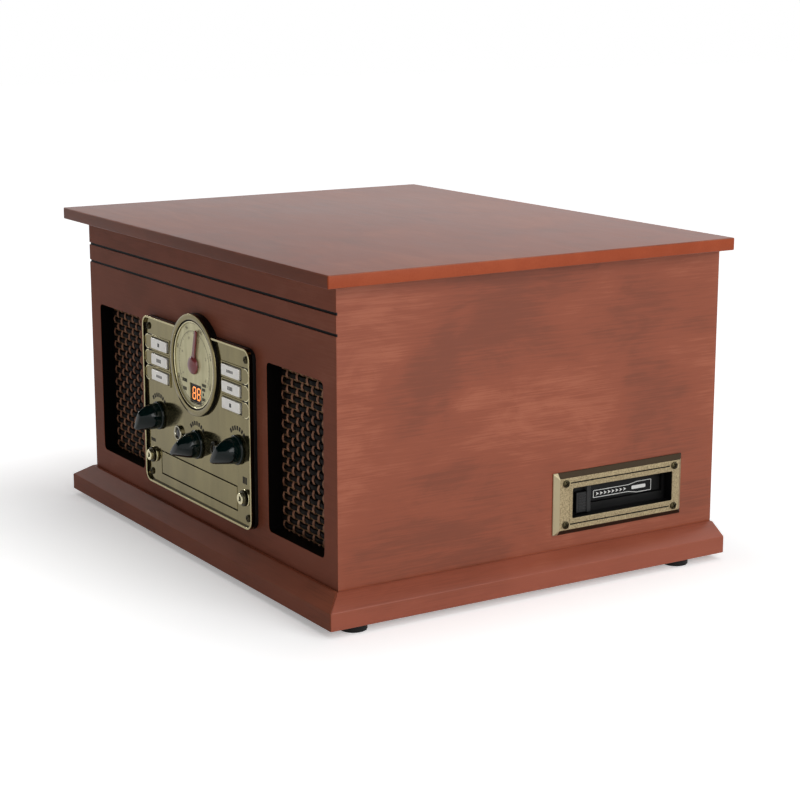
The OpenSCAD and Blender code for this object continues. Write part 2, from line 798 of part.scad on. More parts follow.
// Beaked knob: round skirt, a body that narrows to a pointing ridge, and its shaft behind
module knob(x, z, tail, turn) color("#10211f") translate([x, 0, z]) rotate([0, turn, 0]) {
    y0 = face_y - fit_gap;
    bar_y(0, 0, knob_r, y0 - knob_skirt, y0);
    hull() {
        from_front(y0 - knob_skirt - 1, y0 - knob_skirt + 0.5) circle(knob_r - 1.2, $fn = 16);
        from_front(y0 - knob_l * 0.7, y0 - knob_l * 0.65)
            polygon([[-3.6, -6.5], [-4, 4], [-1.4, beak_l], [1.4, beak_l], [4, 4], [3.6, -6.5]]);
        from_front(y0 - knob_l, y0 - knob_l + 0.5)
            polygon([[-2, -4.5], [-2.2, 4], [-0.9, beak_l - 1.5],
                [0.9, beak_l - 1.5], [2.2, 4], [2, -4.5]]);
    }
    bar_y(0, 0, shaft_r, y0 - 2, y_front + tail);
}

module volume_knob() knob(-knob_x, knob_z, 12, volume_turn);
module function_knob() knob(0, mid_knob_z, 12, function_turn);
module tuning_knob() {
    knob(knob_x, knob_z, 4.5, tuning_turn);
    color("#d8d2c0") cord_wheel(knob_x, knob_z, tuner_r);
}

// Grooved wheel of groove radius r for the dial's cord
module cord_wheel(x, z, r) translate([x, drum_y + drum_t, z]) rotate([90, 0, 0]) rotate_extrude()
    polygon([[0, 0], [r + 1.5, 0], [r + 1.5, 1], [r, 2], [r, 3],
        [r + 1.5, 4], [r + 1.5, drum_t], [0, drum_t]]);

// Push button cap with its stem
module button(s, i) color("#d9d2da") {
    x = s * button_x;
    z = button_z[i];
    y1 = y_front - housing_t - 0.5;
    block([x - button_w / 2, pad_y - button_out, z - button_h / 2], [x + button_w / 2, y1, z + button_h / 2]);
    block([x - button_w / 4, y1 - 0.5, z - 1.5], [x + button_w / 4, y_front + button_go + 0.5, z + 1.5]);
}

module button_left_top() button(-1, 0);
module button_left_middle() button(-1, 1);
module button_left_bottom() button(-1, 2);
module button_right_top() button(1, 0);
module button_right_middle() button(1, 1);
module button_right_bottom() button(1, 2);

// Socket for a small plug: threaded pipe, nut and body, bored from the front
module socket(x) color("#a9a58f") difference() {
    union() {
        bar_y(x, jack_z, jack_pipe, face_y - jack_out, y_front + 1);
        bar_y(x, jack_z, jack_r, face_y - 3, face_y);
        bar_y(x, jack_z, jack_pipe, y_front, face_y - jack_out + jack_l + 3);
    }
    bar_y(x, jack_z, jack_bore, face_y - jack_out - 1, face_y - jack_out + jack_l);
}

module aux_in_socket() socket(-jack_x);
module headphone_socket() socket(jack_x);

// Ring bezels with the remote sensor's window and the lamp's lens
module sensor_and_lamp() color("#8f8b7a") for (s = [-1, 1]) {
    translate([s * lamp_x, face_y, lamp_z]) rotate([90, 0, 0])
        rotate_extrude() polygon([[0, 0], [lamp_r, 0], [lamp_r, 0.8], [lamp_r - 1, 1.6],
            [lamp_r - 2.2, 0.8], [0, 1]]);
    bar_y(s * lamp_x, lamp_z, lamp_r - 1.6, face_y - 0.5, y_front + 2);
}

module drawer_front() color("#9c8f5e") {
    from_front(face_y, y_front - 0.5) translate([0, drawer_z]) square([drawer_w, drawer_h], center = true);
}

// Disc tray with its round recess, tail arms and the rack under its right side
module disc_tray() color("#2b2b2b") {
    cy = y_front + skirt_d + disc_dia / 2 + 4;
    difference() {
        block([-tray_w / 2 + 0.5, y_front - 0.5, tray_z], [tray_w / 2 - 0.5, tray_back, tray_z + tray_t]);
        translate([0, cy, tray_z + tray_t - 2]) cylinder(r = disc_dia / 2 + 0.6, h = 4);
        translate([0, cy, tray_z - 1]) cylinder(r = 18, h = tray_t + 2);
        block([-18, cy, tray_z - 1], [18, tray_back + 1, tray_z + tray_t + 1]);
    }
    translate([rack_x, 0, tray_z - rack_h]) linear_extrude(rack_h) rack_plan();
}

// Half of a tooth's width at height u from the pitch line, on a straight rack
function rack_half(u) = PI * gear_m / 4 - tooth_gap / 2 - u * tan(20);

// Rack with straight-sided teeth that point towards -X from the pitch line at x = 0
module rack_plan() {
    n0 = floor((y_front + 16 - gear_y) / (PI * gear_m)) + 1;
    n1 = floor((tray_back - gear_y) / (PI * gear_m)) - 1;
    y0 = gear_y + (n0 - 0.5) * PI * gear_m;
    y1 = gear_y + (n1 + 0.5) * PI * gear_m;
    translate([1.25 * gear_m, y0]) square([tray_w / 2 - 0.5 - rack_x - 1.25 * gear_m, y1 - y0]);
    for (n = [n0:n1]) {
        y = gear_y + n * PI * gear_m;
        polygon([[1.3 * gear_m, y - rack_half(-1.25 * gear_m)], [-gear_m, y - rack_half(gear_m)],
            [-gear_m, y + rack_half(gear_m)], [1.3 * gear_m, y + rack_half(-1.25 * gear_m)]]);
    }
}

// Angle in degrees by which an involute flank has turned at radius r
function flank_turn(rb, r) = sqrt(pow(max(r / rb, 1), 2) - 1) * 180 / PI - acos(min(rb / r, 1));

// Points of one gear tooth centred on angle a, from root to tip and back
function tooth(a) = let (rb = gear_r * cos(20), ra = gear_r + gear_m, rf = gear_r - 1.25 * gear_m,
    half = 90 / gear_teeth - tooth_gap / 2 / gear_r * 180 / PI / 2 + flank_turn(rb, gear_r),
    steps = [for (i = [0:4]) max(rf, rb) + (ra - max(rf, rb)) * i / 4])
    concat([for (r = steps) polar(r, a - half + flank_turn(rb, r))],
        [for (i = [4:-1:0]) polar(steps[i], a + half - flank_turn(rb, steps[i]))],
        [polar(rf, a + 180 / gear_teeth)]);

// Drive gear under the tray, on an upright pin, with a gap of its own facing a rack tooth
module drawer_gear() color("#e8e4d8")
    translate([rack_x - gear_r, gear_y, tray_z - rack_h + 0.5]) difference() {
        linear_extrude(rack_h - 1.5)
            polygon([for (i = [0:gear_teeth - 1]) each tooth((i + 0.5) * 360 / gear_teeth)]);
        translate([0, 0, -1]) cylinder(r = gear_pin_r + run_gap, h = rack_h + 2);
    }

// Sheet-metal chassis around the tray, with legs down to the bottom board
module disc_chassis() color("#8d9094") {
    w = chassis_w / 2;
    difference() {
        block([-w, chassis_y0, chassis_z], [w, chassis_y1, chassis_top]);
        block([-w + 2, chassis_y0 - 1, chassis_z + 2], [w - 2, chassis_y1 - 2, chassis_top - 2]);
    }
    for (s = [-1, 1]) {
        x0 = s * (w - 1);
        x1 = s * (w - 5.4);
        x2 = s * (tray_w / 2 - 0.5 + move_gap);
        z1 = s > 0 ? tray_z - rack_h : tray_z;
        block([min(x0, x1), chassis_y0 + 4, chassis_z + 1], [max(x0, x1), chassis_y1 - 30, z1 - fit_gap]);
        block([min(x0, x2), chassis_y0 + 4, chassis_z + 1],
            [max(x0, x2), chassis_y1 - 30, tray_z + tray_t + 2]);
    }
    for (x = [-w, w - 10], y = [chassis_y0, chassis_y1 - 10])
        block([x, y, bottom_top], [x + 10, y + 10, chassis_z + 0.5]);
    translate([rack_x - gear_r, gear_y, chassis_z + 1]) {
        cylinder(r = gear_pin_r, h = tray_z - chassis_z - 2);
        cylinder(r = 2 * gear_pin_r, h = tray_z - rack_h - chassis_z - 0.8);
    }
}

// Bevelled bezel with the neck that passes through the side panel
module cassette_bezel() color("#8c7f4c") difference() {
    union() {
        intersection() {
            translate([half_w, 0, 0]) from_above(bezel_cz - bezel_h / 2, bezel_cz + bezel_h / 2)
                bevel_plan(bezel_cy, bezel_w);
            translate([half_w, bezel_cy + bezel_w / 2, 0]) rotate([90, 0, 0]) linear_extrude(bezel_w)
                bevel_plan(bezel_cz, bezel_h);
        }
        from_side(half_w - slot_deep + fit_gap, half_w + 1) translate([slot_cy, bezel_cz]) neck_plan(0);
    }
    from_side(half_w - slot_deep - 1, half_w + bezel_out + 1)
        translate([slot_cy, bezel_cz]) square([slot_w, slot_h], center = true);
}

// Section of the bezel: a plate of the given width with bevelled edges, centred on c
module bevel_plan(c, w) {
    polygon([[0, c - w / 2], [1, c - w / 2], [bezel_out, c - w / 2 + bezel_bevel],
        [bezel_out, c + w / 2 - bezel_bevel], [1, c + w / 2], [0, c + w / 2]]);
}

// Spring flap over the cassette's mouth, hung from its upper edge
module cassette_flap() color("#1a1a1a") {
    y0 = mouth_cy - mouth_w / 2 + hole_gap;
    y1 = mouth_cy + mouth_w / 2 - hole_gap;
    block([flap_x - flap_t / 2, y0, mouth_cz - mouth_h / 2 + hole_gap], [flap_x + flap_t / 2, y1, flap_z]);
    bar_y(flap_x, flap_z, flap_pin_r, y0 - 1.5, y1 + 1.5);
}

module eject_button() color("#1f1f1f")
    block([slot_x - 6, eject_cy - eject_w / 2, eject_cz - eject_h / 2],
        [slot_x + 3, eject_cy + eject_w / 2, eject_cz + eject_h / 2]);

// Cassette mechanism: front plate with its mouth, well for the cassette, motor and legs
module cassette_chassis() color("#2c2e30") {
    x0 = slot_x - cassette_l - 6;
    y0 = slot_cy - slot_w / 2 - neck_t;
    y1 = slot_cy + slot_w / 2 + neck_t;
    z0 = bezel_cz - slot_h / 2 - neck_t;
    z1 = bezel_cz + slot_h / 2 + neck_t;
    difference() {
        block([x0, y0, z0], [slot_x, y1, z1]);
        block([x0 + 2, mouth_cy - mouth_w / 2, mouth_cz - mouth_h / 2],
            [slot_x + 1, mouth_cy + mouth_w / 2, mouth_cz + mouth_h / 2]);
        bar_y(flap_x, flap_z, flap_pin_r + run_gap,
            mouth_cy - mouth_w / 2 - 1.5, mouth_cy + mouth_w / 2 + 1.5);
        block([slot_x - 7 - eject_go, eject_cy - eject_w / 2 - hole_gap, eject_cz - eject_h / 2 - hole_gap],
            [slot_x + 1, eject_cy + eject_w / 2 + hole_gap, eject_cz + eject_h / 2 + hole_gap]);
    }
    for (x = [x0, in_x - 24], y = [y0, y1 - 10]) block([x, y, bottom_top], [x + 10, y + 10, z0 + 1]);
    translate([x0 + 30, mouth_cy, z1 - 0.5]) cylinder(r = 17, h = 22);
    translate([x0 + 70, mouth_cy, z1 - 0.5]) cylinder(r = 13, h = 5);
}

// Deck board with the spindle's bearing, the arm's rest post, the lever's post and the stay's slot
module record_deck() color("#262422") {
    g = fit_gap;
    difference() {
        block([-in_x + g, y_front + skirt_d + g, deck_z - deck_t], [in_x - g, y_back_in - g, deck_z]);
        from_above(deck_z - deck_t - 1, deck_z + 1) {
            translate([motor_cx, motor_cy]) circle(pulley_r + 4);
            translate([spindle_x, spindle_y]) circle(spindle_r + run_gap);
            translate([speed_x, speed_y]) circle(selector_r + run_gap);
            translate([arm_x, arm_y]) circle(bearing_r + run_gap);
        }
        block([stay_x - 1.5, axis_y - stay_slot_far - 1.5, deck_z - deck_t - 1],
            [stay_x + stay_t + 1.5, axis_y - stay_slot_near + 1.5, deck_z + 1]);
    }
    translate([spindle_x, spindle_y, deck_z - 0.5]) difference() {
        cylinder(r = 12, h = platter_up - 0.5);
        translate([0, 0, -1]) cylinder(r = spindle_r + run_gap, h = platter_up + 2);
    }
    rest_y = arm_y - arm_l * 0.62;
    block([arm_x - arm_r, rest_y - 4, deck_z - 0.5], [arm_x + arm_r, rest_y + 4, arm_z - arm_r - fit_gap]);
    difference() {
        block([arm_x + arm_r + 3, cue_y - 4, deck_z - 0.5], [arm_x + arm_r + 10, cue_y + 4, cue_z + 4]);
        bar_x(cue_y, cue_z, cue_shaft_r + run_gap, arm_x + arm_r + 2, arm_x + arm_r + 11);
    }
}

// Platter with its rim, belt ring and spindle
module platter() color("#3a3d40") translate([spindle_x, spindle_y, 0]) {
    translate([0, 0, platter_z]) cylinder(d = platter_dia, h = platter_t);
    translate([0, 0, deck_z + 2]) difference() {
        cylinder(r = ring_r, h = platter_up - 1.5);
        translate([0, 0, -1]) cylinder(r = ring_r - 4, h = platter_up + 1);
    }
    bevel_z = record_z + spindle_h - 1.5;
    translate([0, 0, deck_z - deck_t]) cylinder(r = spindle_r, h = bevel_z - deck_z + deck_t);
    translate([0, 0, bevel_z]) cylinder(r1 = spindle_r, r2 = spindle_r - 1.5, h = 1.5);
}

module slip_mat() color("#1b1b1b") translate([spindle_x, spindle_y, mat_z]) difference() {
    cylinder(d = platter_dia - 4, h = mat_t);
    translate([0, 0, -1]) cylinder(r = spindle_r + fit_gap, h = mat_t + 2);
}

// Motor under the deck
module platter_motor() color("#b9bcc0") translate([motor_cx, motor_cy, 0]) {
    translate([0, 0, deck_z - deck_t - motor_h]) cylinder(r = motor_r, h = motor_h);
    translate([0, 0, deck_z - deck_t - 1]) cylinder(r = motor_shaft_r, h = deck_t + 8);
}

module motor_pulley() color("#c8a24a") translate([motor_cx, motor_cy, deck_z + 1]) difference() {
    h = platter_up - 1.5;
    rotate_extrude() polygon([[0, 0], [pulley_r + 1, 0], [pulley_r + 1, 0.8], [pulley_r, 1.2],
        [pulley_r, h - 1.1], [pulley_r + 1, h - 0.7], [pulley_r + 1, h], [0, h]]);
    translate([0, 0, -1]) cylinder(r = motor_shaft_r + run_gap, h = h + 2);
}

// Flat belt around the platter's ring and the motor's pulley
module drive_belt() color("#0f0f0f")
    translate([spindle_x, spindle_y, deck_z + 2.8]) rotate([0, 0, motor_turn])
        linear_extrude(belt_h) loop_plan(ring_r, pulley_r, motor_x);

// Arm tube with its headshell, cartridge, finger lift and cross pin
module tonearm() color("#2e2e30") translate([arm_x, arm_y, arm_z]) {
    translate([0, 18, 0]) rotate([90, 0, 0]) cylinder(r = arm_r, h = arm_l - shell_l + 28);
    block([-head_w / 2, -arm_l - 6, -arm_r], [head_w / 2, -arm_l + shell_l - 4, arm_r - 1]);
    disc_top = record_z - arm_z;
    block([-head_w / 2 + 2, -arm_l - 3, disc_top + 3], [head_w / 2 - 2, -arm_l + 16, -arm_r + 0.5]);
    translate([0, -arm_l, disc_top + 0.6]) cylinder(r1 = 0.3, r2 = 1.2, h = 2.6);
    block([head_w / 2 - 1, -arm_l + 2, -1], [head_w / 2 + 9, -arm_l + 5, 0.5]);
    bar_x(0, 0, cross_pin_r, -turret_r + 2, turret_r - 2);
}

// Turret with the yoke that carries the arm's cross pin
module tonearm_turret() color("#1c1c1e") translate([arm_x, arm_y, 0]) difference() {
    union() {
        translate([0, 0, deck_z + fit_gap]) cylinder(r = turret_r, h = arm_up - arm_r - 4);
        translate([0, 0, deck_z - deck_t - 3]) cylinder(r = bearing_r, h = deck_t + 5);
        for (x = [3 - turret_r, turret_r - 3]) block([x - 2, -6, deck_z + 2], [x + 2, 6, arm_z + 6]);
    }
    bar_x(0, arm_z, cross_pin_r + run_gap, -turret_r - 1, turret_r + 1);
}

// Lever on a cross shaft whose short finger lifts the arm
module cue_lever() color("#1c1c1e") {
    x1 = arm_x + arm_r + 11;
    bar_x(cue_y, cue_z, cue_shaft_r, arm_x - 4, x1 + 3.5);
    block([arm_x - 4, cue_y - cue_arm, cue_z], [arm_x + 4, cue_y, cue_z + cue_shaft_r]);
    block([x1, cue_y - 16, cue_z - 1.5], [x1 + 3.5, cue_y + 1.5, cue_z + 1.5]);
    block([x1, cue_y - 16, cue_z - 1], [x1 + 3.5, cue_y - 12, cue_z + 6]);
}

module speed_selector() color("#1c1c1e") translate([speed_x, speed_y, 0]) {
    translate([0, 0, deck_z + fit_gap]) cylinder(r = 9, h = 3);
    translate([0, 0, deck_z - deck_t - 3]) cylinder(r = selector_r, h = deck_t + 4);
    block([-2.5, -15, deck_z + fit_gap + 1], [2.5, 0, deck_z + fit_gap + 6]);
}

// Circuit board with its largest components, on posts
module main_circuit_board() color("#2f6b3a") {
    x0 = -in_x + board_side;
    x1 = -chassis_w / 2 - board_side / 2;
    y0 = y_in + board_front;
    y1 = y_back_in - board_back;
    z1 = bottom_top + board_up + board_thick;
    block([x0, y0, bottom_top + board_up], [x1, y1, z1]);
    for (x = [x0 + 2 * post_r, x1 - 2 * post_r], y = [y0 + 2 * post_r, y1 - 2 * post_r])
        translate([x, y, bottom_top]) cylinder(r = post_r, h = board_up + 0.5);
    block([x0 + sink_t, y0 + can_pitch, z1 - 0.1], [x0 + 2 * sink_t, y0 + 3 * can_pitch, z1 + sink_h]);
    for (i = [1:4]) translate([x1 - 2 * can_r, y0 + can_pitch * i, z1 - 0.1]) cylinder(r = can_r, h = can_h);
}

// Mains transformer: laminated core and winding, on the bottom board
module power_transformer() color("#7d7a74") {
    cx = in_x - core_side - core_w / 2;
    cy = y_in + core_front;
    coil = [core_w - 2 * core_leg, core_d + 2 * coil_out];
    block([cx - core_w / 2, cy - core_d / 2, bottom_top],
        [cx + core_w / 2, cy + core_d / 2, bottom_top + core_h]);
    block([cx - coil.x / 2, cy - coil.y / 2, bottom_top + coil_out],
        [cx + coil.x / 2, cy + coil.y / 2, bottom_top + core_h - coil_out]);
}

// Plate with the two line sockets and the cord's empty gland
module rear_sockets() color("#1c1c1e") difference() {
    union() {
        from_front(y_back, y_back + 1.5)
            translate([socket_cx, socket_cz]) square([socket_w, socket_h], center = true);
        from_front(y_back_in + fit_gap, y_back + 1)
            translate([socket_cx, socket_cz]) square([socket_w - 9, socket_h - 9], center = true);
        for (x = socket_x) bar_y(x, socket_cz, socket_r, y_back + 1, y_back + socket_out);
        bar_y(gland_x, socket_cz, 8, y_back + 1, y_back + 5);
    }
    for (x = socket_x) bar_y(x, socket_cz, socket_bore, y_back + 1.5, y_back + socket_out + 1);
    bar_y(gland_x, socket_cz, 4, y_back_in - 1, y_back + 6);
}

module lid_board() color("#8a5448")
    block([-lid_w / 2, y_front - lid_front, lid_z], [lid_w / 2, y_back, lid_z + lid_t]);

// Leaves and outer knuckles on the back panel with their pins, and the stay's fixed pin
module cabinet_hinge_fittings() color("#b08d4a") {
    for (s = [-1, 1]) translate([s * hinge_x, 0, 0]) {
        for (t = [-1, 1]) {
            x0 = t * hinge_w / 3 - hinge_w / 6 + knuckle_gap / 2;
            x1 = t * hinge_w / 3 + hinge_w / 6 - knuckle_gap / 2;
            bar_x(axis_y, lid_z, knuckle_r, x0, x1);
            block([x0, y_back, lid_z - 12], [x1, y_back + leaf_t + 0.8, lid_z]);
        }
        leaf_x = hinge_w / 2 - knuckle_gap / 2;
        block([-leaf_x, y_back, lid_z - 28], [leaf_x, y_back + leaf_t, lid_z - knuckle_r - 1]);
        bar_x(axis_y, lid_z, pin_r, -hinge_w / 2, hinge_w / 2);
    }
    bar_x(pin_y, pin_z, stay_pin_r, -in_x, stay_x + stay_t + 1);
    bar_x(pin_y, pin_z, stay_pin_r + 2, -in_x, stay_x - 0.4);
    bar_x(pin_y, pin_z, stay_pin_r + 2, stay_x + stay_t + 0.4, stay_x + stay_t + 1.6);
}
// Leaves and middle knuckles on the lid's back edge
module lid_hinge_fittings() color("#b08d4a") {
    w = hinge_w / 6 - knuckle_gap / 2;
    for (s = [-1, 1]) translate([s * hinge_x, 0, 0]) {
        difference() {
            union() {
                bar_x(axis_y, lid_z, knuckle_r, -w, w);
                block([-w, y_back, lid_z], [w, y_back + leaf_t + 0.8, lid_z + knuckle_r + 1.6]);
            }
            bar_x(axis_y, lid_z, pin_r + run_gap, -hinge_w / 2, hinge_w / 2);
        }
        block([-hinge_w / 2, y_back, lid_z + knuckle_r + 1],
            [hinge_w / 2, y_back + leaf_t, lid_z + lid_t - 0.5]);
    }
}

// Band of half-width w along the arc of radius stay_r from slope a0 to slope a1 below the lid
module arc_band(w, a0, a1) {
    rotate(180 + a0) ring_sector(w, a1 - a0);
    for (a = [a0, a1]) rotate(180 + a) translate([stay_r, 0]) circle(w);
}

// Sector of a ring of half-width w that spans the given angle
module ring_sector(w, span) {
    far = 2 * stay_r;
    intersection() {
        difference() {
            circle(stay_r + w, $fn = 180);
            circle(stay_r - w, $fn = 180);
        }
        polygon([[0, 0], [far, 0], far * [cos(span / 2), sin(span / 2)], far * [cos(span), sin(span)]]);
    }
}

// Quadrant stay: a curved arm under the lid, whose slot is centred on the hinge axis
module lid_stay() color("#b08d4a") {
    translate([0, axis_y, lid_z]) from_side(stay_x, stay_x + stay_t) difference() {
        intersection() {
            arc_band(stay_half, 0, stay_far);
            translate([-2 * stay_r, -2 * stay_r]) square([4 * stay_r, 2 * stay_r]);
        }
        arc_band(slot_half, stay_low, stay_far);
    }
    block([stay_x, axis_y - stay_r - 12, lid_z - 1.5], [stay_x + 14, axis_y - stay_r + 12, lid_z]);
}

front_board();
left_side_panel();
right_side_panel();
back_panel();
bottom_board();
plinth_front();
plinth_left();
plinth_right();
corner_blocks();
rubber_feet();
left_grille_weave();
right_grille_weave();
speaker_boards();
speaker_baskets();
speaker_cones();
panel_housing();
panel_face();
trim_screws();
dial_ring();
dial_face();
digit_display();
dial_pointer();
dial_cord();
volume_knob();
function_knob();
tuning_knob();
button_left_top();
button_left_middle();
button_left_bottom();
button_right_top();
button_right_middle();
button_right_bottom();
aux_in_socket();
headphone_socket();
sensor_and_lamp();
drawer_front();
disc_tray();
disc_chassis();
drawer_gear();
cassette_bezel();
cassette_flap();
eject_button();
cassette_chassis();
record_deck();
platter();
slip_mat();
platter_motor();
motor_pulley();
drive_belt();
tonearm();
tonearm_turret();
cue_lever();
speed_selector();
main_circuit_board();
power_transformer();
rear_sockets();
lid_board();
cabinet_hinge_fittings();
lid_hinge_fittings();
lid_stay();
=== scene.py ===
# Stereo music centre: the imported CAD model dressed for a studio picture
import json
import math

import bmesh
import bpy
import numpy as np
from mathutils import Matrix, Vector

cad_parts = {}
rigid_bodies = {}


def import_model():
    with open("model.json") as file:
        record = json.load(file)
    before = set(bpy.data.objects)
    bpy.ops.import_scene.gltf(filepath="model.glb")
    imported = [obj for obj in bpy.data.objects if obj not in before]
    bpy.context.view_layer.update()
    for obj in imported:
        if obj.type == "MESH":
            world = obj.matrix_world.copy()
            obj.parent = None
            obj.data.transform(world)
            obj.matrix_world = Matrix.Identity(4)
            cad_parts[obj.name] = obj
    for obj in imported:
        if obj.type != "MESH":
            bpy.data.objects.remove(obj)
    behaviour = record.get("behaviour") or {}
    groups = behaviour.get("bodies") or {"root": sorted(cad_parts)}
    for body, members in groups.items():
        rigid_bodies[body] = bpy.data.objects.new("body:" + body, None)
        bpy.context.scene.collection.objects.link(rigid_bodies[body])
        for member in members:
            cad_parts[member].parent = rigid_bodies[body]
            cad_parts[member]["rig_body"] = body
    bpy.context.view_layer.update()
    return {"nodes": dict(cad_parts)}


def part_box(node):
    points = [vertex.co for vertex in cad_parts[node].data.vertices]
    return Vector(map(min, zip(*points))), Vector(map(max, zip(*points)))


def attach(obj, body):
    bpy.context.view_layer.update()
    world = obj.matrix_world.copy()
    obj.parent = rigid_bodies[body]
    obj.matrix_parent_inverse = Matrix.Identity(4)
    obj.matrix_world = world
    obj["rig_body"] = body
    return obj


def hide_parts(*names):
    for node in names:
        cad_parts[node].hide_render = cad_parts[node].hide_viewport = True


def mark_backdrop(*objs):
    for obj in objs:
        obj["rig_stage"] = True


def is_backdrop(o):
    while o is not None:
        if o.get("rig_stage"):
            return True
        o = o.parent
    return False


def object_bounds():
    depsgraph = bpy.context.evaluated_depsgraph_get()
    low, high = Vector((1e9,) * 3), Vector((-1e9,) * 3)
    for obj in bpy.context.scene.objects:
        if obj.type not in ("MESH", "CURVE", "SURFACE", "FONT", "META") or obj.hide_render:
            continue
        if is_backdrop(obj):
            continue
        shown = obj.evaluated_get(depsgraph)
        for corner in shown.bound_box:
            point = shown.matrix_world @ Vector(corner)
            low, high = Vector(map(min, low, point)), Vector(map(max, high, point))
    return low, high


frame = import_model()
nodes = frame["nodes"]
mm = 0.001
inkHigh = 0.06  # how far printed marks stand out, in mm
print("frame loaded:", len(nodes), "nodes")

# directions (side, up, out) of the faces that pieces are drawn on
frontFace = np.array([[1, 0, 0], [0, 0, 1], [0, -1, 0]], float)
backFace = np.array([[-1, 0, 0], [0, 0, 1], [0, 1, 0]], float)
rightFace = np.array([[0, 1, 0], [0, 0, 1], [1, 0, 0]], float)
topFace = np.eye(3)


def boxOf(node):
    # low corner, high corner and middle of a CAD node in mm
    low, high = [np.array(corner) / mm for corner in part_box(node)]
    return low, high, (low + high) / 2


def gridFaces(rows, cols, wrapRows=False, wrapCols=False):
    # quads between the neighbours of a rows by cols grid, joined round where asked
    i, j = np.meshgrid(np.arange(rows if wrapRows else rows - 1),
                       np.arange(cols if wrapCols else cols - 1), indexing="ij")
    down, right = (i + 1) % rows, (j + 1) % cols
    quads = np.stack([i * cols + j, i * cols + right, down * cols + right, down * cols + j], -1)
    return quads.reshape(-1, 4).tolist()


def onFace(points, origin, face):
    # local (side, up, out) numbers in mm to places in metres: origin + side*u + up*v + out*w
    return np.asarray(origin, float) * mm + (np.asarray(points, float) @ face) * mm


def stackRings(rings):
    # rings of equal length joined in order, with flat caps on the first and the last
    count, size = rings.shape[:2]
    caps = [list(range(size))[::-1], list(range((count - 1) * size, count * size))]
    return rings.reshape(-1, 3), gridFaces(count, size, wrapCols=True) + caps


def circle(count):
    # angles of points evenly round a full circle
    return np.linspace(0, 2 * math.pi, count, endpoint=False)


def revolve(profile, around=48, ripple=None):
    # ring for every (radius, height) of a profile: u = r cos a, v = r sin a, w = height; ripple scales r
    profile, angle = np.asarray(profile, float), circle(around)
    radius = profile[:, :1] * np.ones((1, around))
    if ripple is not None:
        radius = radius * ripple(angle[None, :], profile[:, 1:])
    height = profile[:, 1:] * np.ones((1, around))
    return stackRings(np.stack([radius * np.cos(angle), radius * np.sin(angle), height], -1))


def roundFrame(profile, around=128, ripple=None):
    # closed ring about the out axis whose cross section is a loop of (radius, height) points
    return revolve(profile, around, ripple)[0], gridFaces(len(profile), around, True, True)


def roundRect(width, height, radius, steps=6):
    # quarter circles of the radius about the four inner corners, anticlockwise
    turn = np.linspace(0, math.pi / 2, steps)
    parts = []
    for quarter, (x, y) in enumerate([(1, 1), (-1, 1), (-1, -1), (1, -1)]):
        angle = turn + quarter * math.pi / 2
        parts.append(np.stack([x * (width / 2 - radius) + radius * np.cos(angle),
                               y * (height / 2 - radius) + radius * np.sin(angle)], -1))
    return np.concatenate(parts)


def shrink(outline, amount):
    # every corner moves in along its bisector, so that each side moves in by the amount
    edges = outline - np.roll(outline, 1, 0), np.roll(outline, -1, 0) - outline
    first, second = [np.stack([e[:, 1], -e[:, 0]], -1) / np.linalg.norm(e, axis=1)[:, None] for e in edges]
    return outline - amount * (first + second) / (1 + (first * second).sum(1))[:, None]


def atHeight(outline, height):
    # (side, up) points with one out value for all
    return np.column_stack([outline, np.full(len(outline), height)])


def plate(outline, stops):
    # the outline shrunk by each stop's inset and lifted to its height
    return stackRings(np.array([atHeight(shrink(outline, inset), height) for inset, height in stops]))


def block(outline, low, high):
    # the outline straight up from one height to another
    return plate(outline, [(0, low), (0, high)])


def softStops(low, high, soft):
    # stops of a plate whose lower and upper edges are rounded by quarter circles
    turn = np.linspace(0, math.pi / 2, 4)
    inset, rise = soft * (1 - np.sin(turn)), soft * (1 - np.cos(turn))
    return list(zip(inset, low + rise)) + list(zip(inset[::-1], high - rise[::-1]))


def moved(shell, shift=(0, 0, 0), turn=0):
    # the shell turned about its own out axis, then shifted
    points, faces = shell
    c, s = math.cos(math.radians(turn)), math.sin(math.radians(turn))
    return points @ np.array([[c, s, 0], [-s, c, 0], [0, 0, 1]]) + np.asarray(shift, float), faces


def joined(shells):
    # one shell of many, with the face numbers shifted past the points before them
    points, faces, start = [], [], 0
    for part, rings in shells:
        points.append(part)
        faces += [[number + start for number in face] for face in rings]
        start += len(part)
    return np.concatenate(points), faces


def polar(radius, degrees):
    # (r cos a, r sin a), with the angle anticlockwise from the side axis
    return radius * np.array([math.cos(math.radians(degrees)), math.sin(math.radians(degrees))])


def sideways(start, end):
    # unit vector from one point of the face to another, and the one square to it
    along = (end - start) / np.linalg.norm(end - start)
    return along, np.array([-along[1], along[0]])


def bar(start, end, width, low=0, high=0.05):
    # straight bar between two points of the face: a box of the given width from low to high
    start, end = np.asarray(start, float), np.asarray(end, float)
    across = sideways(start, end)[1] * width / 2
    return block(np.array([start - across, end - across, end + across, start + across]), low, high)


def arcBar(radius, width, first, last, low=0, high=inkHigh, steps=32):
    # strip between the radii r - width/2 and r + width/2 from one angle to another, in degrees
    angle = np.radians(np.linspace(first, last, steps))
    way = np.stack([np.cos(angle), np.sin(angle)], -1)
    return block(np.concatenate([(radius + width / 2) * way, (radius - width / 2) * way[::-1]]), low, high)


def tube(first, last, radius, around=32):
    # straight tube along the up axis: three equal circles square to it
    angle = circle(around)[None, :]
    up = np.array([[first], [(first + last) / 2], [last]]) * np.ones((1, around))
    return stackRings(np.stack([-radius * np.cos(angle) * np.ones((3, 1)), up,
                                radius * np.sin(angle) * np.ones((3, 1))], -1))


